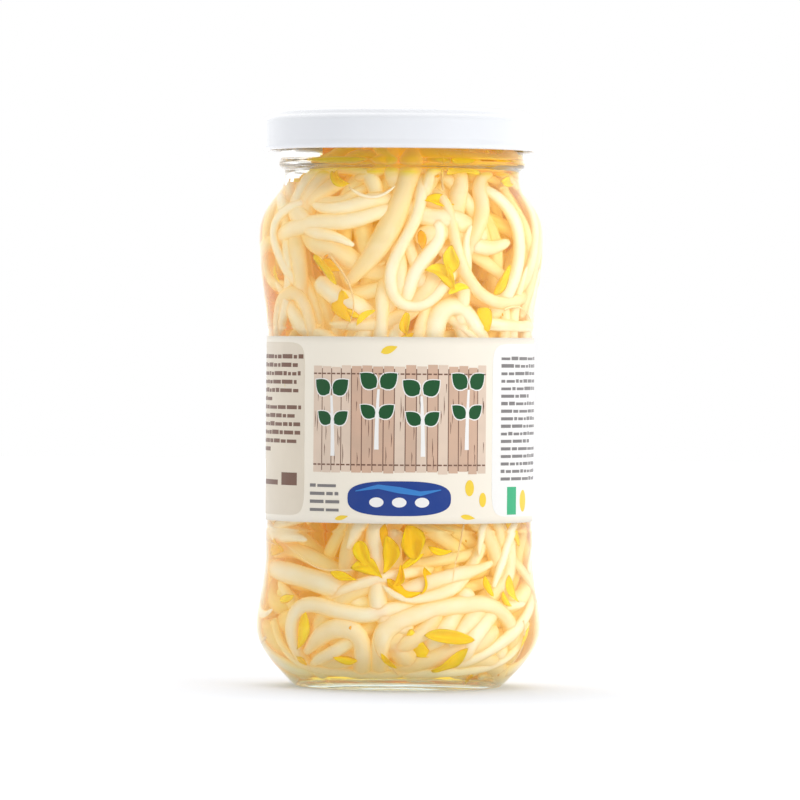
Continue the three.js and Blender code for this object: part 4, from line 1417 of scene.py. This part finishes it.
def tapered_radii(count, radius, draw, ends):
    """A sprout's radius along it: a drawn-out root end, a plump stem, and a bent neck or a snapped end.
    One with given ends tapers only where an end doesn't dive into the bunch."""
    t = np.linspace(0, 1, count)
    if ends:
        draw(), draw()  # unused, so that the draws of the sprouts after it stay as they are
        radii = radius * (1 + 0.08 * np.sin(math.pi * t))
        radii *= 1 if ends[0] else 0.45 + 0.55 * np.clip(t / 0.2, 0, 1)
        radii *= 1 if ends[1] else 0.45 + 0.55 * np.clip((1 - t) / 0.25, 0, 1)
        return radii
    tail = 0.28 + 0.72 * np.clip(t / (0.16 + 0.16 * draw()), 0, 1) ** 0.8
    body = 1 + 0.1 * np.sin(math.pi * t) + 0.08 * (draw() - 0.5) * (t - 0.5)
    if draw() < 0.35:
        head = np.ones(count)
    else:
        head = 1 - 0.35 * np.clip((t - 0.8) / 0.2, 0, 1) ** 1.5
    radii = radius * tail * body * head
    radii[-1] *= 0.72
    radii[0] *= 0.7
    return radii


def strand_piece(name, strands, sides, spacing, material, *nodes, thin=False):
    """One mesh of many sprouts or threads."""
    draw = random_source(len(strands) * 31 + sides)
    points, faces, tones, alongs, turns = [], [], [], [], []
    base = 0
    for strand in strands:
        line = smooth_line(strand.points, spacing)
        count = len(line)
        if thin:
            t = np.linspace(0, 1, count)
            radii = strand.radii[0] * (1 - 0.75 * t) * np.clip((1.02 - t) * 12, 0.3, 1)
        else:
            full = np.interp(np.linspace(0, 1, count), np.linspace(0, 1, len(strand.radii)), strand.radii)
            radii = np.minimum(tapered_radii(count, strand.radii.max(), draw, strand.ends), full * 1.08)
        skin = sprout_tube(line, radii, sides, draw)
        points.append(skin)
        faces += tube_faces(count, sides, base)
        tones.append(np.full(len(skin), draw()))
        t = np.repeat(np.linspace(0, 1, count), sides)
        alongs.append(np.concatenate([t, [0, 1]]))
        turns.append(np.concatenate([np.tile(np.arange(sides) / sides, count), [0, 0]]))
        base += len(skin)
    made = made_mesh(name, np.vstack(points), faces, [material])
    with_flesh_data(made, np.concatenate(tones), np.concatenate(alongs), np.concatenate(turns))
    return placed(made, "jar", "sprout", *nodes)


def leaf_skin(centre, ahead, out, size, cup, fold, thick, draw, steps=16, rows=9):
    """A cupped, twisted seed leaf: two skins that meet at its rim, as points and faces."""
    half_long, half_wide = size
    across = np.cross(ahead, out)
    blunt, sharp, point = 2.0 + 1.4 * draw(), 1.0 + 0.9 * draw(), 0.55 + 0.4 * draw()
    twist, curl, phase = 1.5 * (draw() - 0.5), 0.5 * (draw() - 0.5), 6 * draw()
    sweep = 0.9 * (draw() - 0.5) * half_long
    skins = []
    for side in (1, -1):
        grid = []
        for u in np.linspace(-1, 1, steps):
            width = half_wide * (1 - abs(u) ** (sharp if u > 0 else blunt)) ** point
            turn = twist * u
            wide = across * math.cos(turn) + out * math.sin(turn)
            thin = out * math.cos(turn) - across * math.sin(turn)
            spine = centre + ahead * (u * half_long) + out * (curl * u * u * half_wide)
            spine = spine + across * (sweep * (u * u - 0.35))
            for v in np.linspace(-1, 1, rows):
                rim = (1 - v**4) * (1 - u**6)
                lift = (fold * abs(v) - cup * v * v) * width / half_wide - 0.3 * cup * u * u
                lift += 0.16 * half_wide * math.sin(3.4 * u + phase + 1.8 * v) * (0.4 + abs(v))
                grid.append(spine + wide * (v * width) + thin * (lift + side * thick * 0.5 * rim))
        skins.append(np.array(grid))
    return np.vstack(skins), two_skins(steps, rows)


def weld(made):
    """Joins points that meet, drops flat scraps and turns the faces outwards."""
    bm = bmesh.new()
    bm.from_mesh(made.data)
    bmesh.ops.remove_doubles(bm, verts=bm.verts, dist=1e-6)
    bmesh.ops.dissolve_degenerate(bm, edges=bm.edges, dist=1e-7)
    bmesh.ops.recalc_face_normals(bm, faces=bm.faces)
    bm.to_mesh(made.data)
    bm.free()


def lie_of(strand):
    """A leaf's middle, its way ahead, the way out to the glass, and that way square to the one ahead."""
    ahead = unit(strand.points[-1] - strand.points[0])
    out = -PACKING.inside(strand.points[1][None])[1][0]
    return strand.points[1], ahead, out, unit(out - ahead * (out @ ahead))


LEAF_TILT = 1.1
FRONT_TILT = 0.4  # share of the tilt that a leaf with a listed place keeps
FRONT_LIFT = 0.4  # and how much nearer to the glass it lies
HELD_LEAF = (4.1, 2.3)


def leaf_piece(name, strand, material, draw, *nodes):
    """A seed leaf as its own mesh, lying along the wall where its strand settled."""
    centre, ahead, outward, out = lie_of(strand)
    tilt = (draw() - 0.5) * LEAF_TILT
    if strand.size:
        tilt *= FRONT_TILT
        centre = centre + outward * FRONT_LIFT
    across = np.cross(ahead, out)
    out = out * math.cos(tilt) + across * math.sin(tilt)
    loose_size = (2.8 + 2.4 * draw(), 1.2 + 1.0 * draw())
    size = HELD_LEAF if nodes else strand.size or loose_size
    cup = (0.4 + 0.9 * draw()) * (1 if draw() < 0.6 else -0.8)
    fold = 0.0 if draw() < 0.5 else 0.9 * size[1]
    points, faces = leaf_skin(centre, ahead, out, size, cup, fold, 0.5, draw)
    made = made_mesh(name, points, faces, [material])
    weld(made)
    tone = draw()
    places = [v.co - Vector(centre * MM) for v in made.data.vertices]
    alongs, turns = ([0.5 + place.dot(Vector(way)) / (2 * half * MM) for place in places]
                     for way, half in ((ahead, size[0]), (across, size[1])))
    with_flesh_data(made, [tone] * len(places), alongs, turns)
    return placed(made, "jar", "seed_leaf", *nodes)


def speck_piece(strands, material, draw):
    """Flecks of seed coat against the glass."""
    points, faces = [], []
    base = 0
    for strand in strands:
        centre, ahead, _, out = lie_of(strand)
        skin, skin_faces = leaf_skin(centre, ahead, out, strand.size, 0.1, 0.0, 0.3, draw, 9, 7)
        points.append(skin)
        faces += [tuple(base + k for k in face) for face in skin_faces]
        base += len(skin)
    made = made_mesh("bran_flecks", np.vstack(points), faces, [material])
    weld(made)
    count = len(made.data.vertices)
    with_flesh_data(made, np.full(count, 0.5), np.zeros(count), np.zeros(count))
    placed(made, "jar", "sprout")


def tangle():
    """Sprouts, threads and seed leaves, packed together in the jar."""
    leading = leading_sprouts()
    held = [leaf_on(sprout) for sprout in leaf_bearers(leading)]
    strands = settle([*front_strands(), *leading, *held, *loose_strands()])
    flesh, yolk, root, bran = sprout_flesh(), seed_leaf_flesh(), root_thread_flesh(), bran_brown()
    kinds = {kind: [s for s in strands if s.kind in kind] for kind in (
        ("sprout",), ("thread",), ("held leaf",), ("loose leaf", "front leaf"), ("speck",))}
    sprouts, threads, held, loose, specks = kinds.values()
    outer, inner = ([s for s in sprouts if (np.min(PACKING.inside(s.points)[0]) < NEAR_WALL) == near]
                    for near in (True, False))
    half = len(outer) // 2
    strand_piece("sprouts_at_wall", outer[:half], 14, 1.3, flesh, "sprout_bunch")
    strand_piece("sprouts_behind", outer[half:], 14, 1.3, flesh)
    strand_piece("sprouts_in_middle", inner, 8, 2.5, flesh)
    strand_piece("root_threads", threads, 6, 1.2, root, thin=True)
    draw = random_source(SEED + 5)
    for i, strand in enumerate(held, 1):
        leaf_piece(f"seed_leaf_cupped_{i:02d}", strand, yolk, draw, f"seed_leaf_{i:02d}")
    for i, strand in enumerate(loose, 1):
        leaf_piece(f"seed_leaf_loose_{i:02d}", strand, yolk, draw)
    speck_piece(specks, bran, draw)


# Printed design ----------------------------------------------------------


INKS = {  # colour, and how cloudy it lies on the paper
    "White": ((0.82, 0.81, 0.79, 1), 0.03),
    "Grey": ((0.2, 0.19, 0.19, 1), 0.05),
    "Brown": ((0.16, 0.075, 0.05, 1), 0.2),
    "Rose": ((0.66, 0.43, 0.31, 1), 0.5),
    "Pale rose": ((0.76, 0.6, 0.48, 1), 0.4),
    "Blue": ((0.004, 0.04, 0.24, 1), 0.08),
    "Sky": ((0.03, 0.2, 0.55, 1), 0.08),
    "Dark green": ((0.004, 0.075, 0.02, 1), 0.05),
    "Bright green": ((0.04, 0.42, 0.2, 1), 0.05),
    "Yellow": ((0.85, 0.6, 0.05, 1), 0.1),
    "Beige": ((0.74, 0.66, 0.54, 1), 0.2),
}
SLATS = 17
SLAT_PITCH = 2.6
SLAT_WIDTH = 2.36
MAT_LEFT = -22.0
MAT_THREADS = 34
SEEDLINGS = 4
RIM_WIDTH = 0.28  # white left round each leaf


def slatted_mat(draw):
    """Slats in two tones, which a draw sorts, and the strokes of their grain."""
    slats, pale_slats, grain = [], [], []
    for i in range(SLATS):
        left = MAT_LEFT + SLAT_PITCH * i
        low, high = 11.6 + 0.7 * draw(), 37.4 - 0.8 * draw()
        (slats if draw() < 0.5 else pale_slats).append(block(left, low, left + SLAT_WIDTH, high))
        for _ in range(3):
            side, start = left + 0.3 + 1.7 * draw(), low + 0.5 + 19 * draw()
            grain.append(stroke([(side, start), (side + 0.1, start + 2), (side, start + 2 + 3 * draw())],
                                [0.05, 0.22, 0.05]))
    return slats, pale_slats, grain


def row_of_seedlings():
    """The stems, the leaves, and the larger leaves that make their rims."""
    stems, leaves, rims = [], [], []
    for i in range(SEEDLINGS):
        place = (-16.5 + 11 * i, 15.8 + 1.6 * (i % 2), 14.2, 0.03 if i % 2 else -0.03)
        stem, pairs = seedling(*place)
        stems.append(stem)
        leaves += pairs
        rims += seedling(*place, margin=RIM_WIDTH)[1]
    return stems, leaves, rims


def label_design():
    """A plain design with no lettering: seedlings on a slatted mat, a blue band, beans, and panels of
    broken rules at the sides and the back. The draws are taken in the order of the list."""
    draw = random_source(11)
    slats, pale_slats, grain = slatted_mat(draw)
    stems, leaves, rims = row_of_seedlings()
    threads = [block(MAT_LEFT + 1.3 * i, v, MAT_LEFT + 0.9 + 1.3 * i, v + 0.35)
               for v in (13.6, 35.0) for i in range(MAT_THREADS)]
    wave = stroke([(-10.5, 7.6), (-5, 8.7), (0, 7.9), (5, 7.1), (10, 8.0)], [0.2, 1.0, 1.5, 1.1, 0.2])
    back_leaves = [leaf_shape(66 + 6 * i, 9.0, lean, 5.5, 3.2) for i in range(4) for lean in (50, 130)]
    inks = {name: paper_material(f"{name} ink", *look) for name, look in INKS.items()}
    for name, ink, layer, shapes in (
        ("right_panel", "White", 1, [oval(45, 22, 21, 20.5, power=12)]),
        ("left_panel", "Beige", 1, [oval(-45, 22, 20, 20.5, power=12)]),
        ("mat_back", "Brown", 1, [block(-21.4, 12.4, 21.4, 36.4)]),
        ("mat_slats", "Rose", 2, slats),
        ("mat_pale_slats", "Pale rose", 2, pale_slats),
        ("mat_grain", "Brown", 3, grain),
        ("mat_threads", "Brown", 4, threads),
        ("seedling_rims", "White", 4, rims),
        ("seedling_stems", "White", 5, stems),
        ("seedling_leaves", "Dark green", 6, leaves),
        ("blue_band", "Blue", 2, [oval(0, 5.9, 12.5, 4.1, power=2.8)]),
        ("blue_band_wave", "Sky", 3, [wave]),
        ("blue_band_beans", "White", 4, [oval(-5.4 + 5.4 * i, 5.0, 1.7, 1.15) for i in range(3)]),
        ("notes", "Grey", 3, broken_rules(27, 38.6, 26, 17, 1.78, 0.75, draw)),
        ("side_notes", "Brown", 3, broken_rules(-58, 38.6, 33, 12, 2.0, 0.9, draw)),
        ("side_bars", "Brown", 3, [block(-34, 8.6, -27.5, 11.6), block(-47, 8.6, -36, 9.8)]),
        ("back_notes", "Grey", 3, broken_rules(64, 38.6, 26, 10, 1.9, 0.8, draw)
         + broken_rules(-96, 38.6, 26, 14, 1.9, 0.8, draw)),
        ("back_leaves", "Dark green", 3, back_leaves),
        ("low_notes", "Grey", 3, broken_rules(-23, 8.4, 8.5, 4, 1.9, 0.7, draw)),
        ("green_block", "Bright green", 3, [block(29.5, 2.0, 33.4, 8.6)]),
        ("beans", "Yellow", 3,
         [oval(37, 5.2, 1.7, 2.6), oval(17.4, 8.4, 1.2, 1.9), oval(21.2, 5.6, 1.0, 1.7)]),
        ("petals", "Yellow", 3, [leaf_shape(-4.6, 40.2, 20, 4.2, 1.8), leaf_shape(15, 1.8, -8, 4, 1.2),
                                 leaf_shape(-15.8, 0.9, 12, 3.6, 1.1)]),
    ):
        printed(f"print_{name}", shapes, inks[ink], layer)


# Light, floor and camera ---------------------------------------------------


FRONT_LIGHT = 0.57  # the room in front is dimmer than the backdrop
BACK_LIGHT = 1.3
ROOM_TURN = (-0.7, 0.5)  # where, from front to back, the room grows from one to the other
FLOOR_SIZE = 6  # this and all below in metres
FLOOR_TINT = (0.775, 0.79, 0.82, 1)
FLOOR_REACH = (0.035, 0.3)  # the floor's painted glow grows over this distance from the jar's axis, leaving a painted shadow round the jar,
FLOOR_PAINTED_GLOW = (0.1, 0.37)  # from this to this, so that it meets the backdrop
LAMP_AIM = (0, 0, 0.07)
LAMPS = {"Key": ((1.2, -1.1, 0.6), 0.9, 9), "Top": ((-0.1, 0.5, 1.2), 0.7, 3.5)}  # place, size, watts
CAMERA_PLACE = (0, -1.6, 0.083)
CAMERA_AIM = (0, 0, 0.0685)
CAMERA_LEAN = 0.45
CAMERA_LENS = 300.5


def lamp(name, place, size, power):
    """A square soft light, too soft to mirror."""
    data = bpy.data.lights.new(name, "AREA")
    data.shape = "RECTANGLE"
    data.size = data.size_y = size
    data.energy = power
    made = into_scene(name, data)
    made.location = place
    made.rotation_euler = (Vector(LAMP_AIM) - Vector(place)).to_track_quat("-Z", "Y").to_euler()
    made.visible_glossy = False


def white_room():
    """A room that is white to the camera, and dimmer in front than behind to all else."""
    world = bpy.data.worlds.new("White room")
    world.use_nodes = True
    tree = world.node_tree
    way = add_node(tree, "ShaderNodeSeparateXYZ", {0: places_on(tree, "Generated")})
    room = carried_over(tree, way.outputs["Y"], *ROOM_TURN, FRONT_LIGHT, BACK_LIGHT)
    seen = add_node(tree, "ShaderNodeLightPath").outputs["Is Camera Ray"]
    strength = carried_over(tree, seen, 0.0, 1.0, room, 1.0)
    fed(tree, tree.nodes["Background"], {"Color": WHITE, "Strength": strength})
    bpy.context.scene.world = world


def white_floor():
    bpy.ops.mesh.primitive_plane_add(size=FLOOR_SIZE, location=(0, 0, -0.00002))
    floor = bpy.context.object
    floor.name = "floor_plane"
    material, tree, shader = new_material("White floor")
    # The floor glows less near the jar: a painted shadow round its foot, and painted light further out.
    far = add_node(tree, "ShaderNodeVectorMath", {0: places_on(tree)}, operation="LENGTH")
    fed(tree, shader, {
        "Base Color": FLOOR_TINT, "Roughness": 0.9, "Specular IOR Level": 0.0,
        "Emission Color": carried_over(tree, far.outputs["Value"], *FLOOR_REACH, *FLOOR_PAINTED_GLOW),
        "Emission Strength": 1.0})
    floor.data.materials.append(material)


def studio():
    scene = bpy.context.scene
    scene.view_settings.view_transform = "Standard"
    scene.cycles.max_bounces = 24
    scene.cycles.diffuse_bounces = 6
    scene.cycles.glossy_bounces = 16
    scene.cycles.transmission_bounces = 16
    scene.cycles.transparent_max_bounces = 32
    white_room()
    white_floor()
    for name, look in LAMPS.items():
        lamp(name, *look)


def camera():
    place = Vector(CAMERA_PLACE)
    data = bpy.data.cameras.new("Front")
    data.lens = CAMERA_LENS
    made = into_scene("Front", data)
    lean = Matrix.Rotation(math.radians(CAMERA_LEAN), 4, "Z")
    turn = (Vector(CAMERA_AIM) - place).to_track_quat("-Z", "Y").to_matrix().to_4x4() @ lean
    made.matrix_world = Matrix.Translation(place) @ turn
    bpy.context.scene.camera = made


camera()
studio()
glass_jar()
brine()
lid()
lid_seal()
label_paper()
label_design()
tangle()
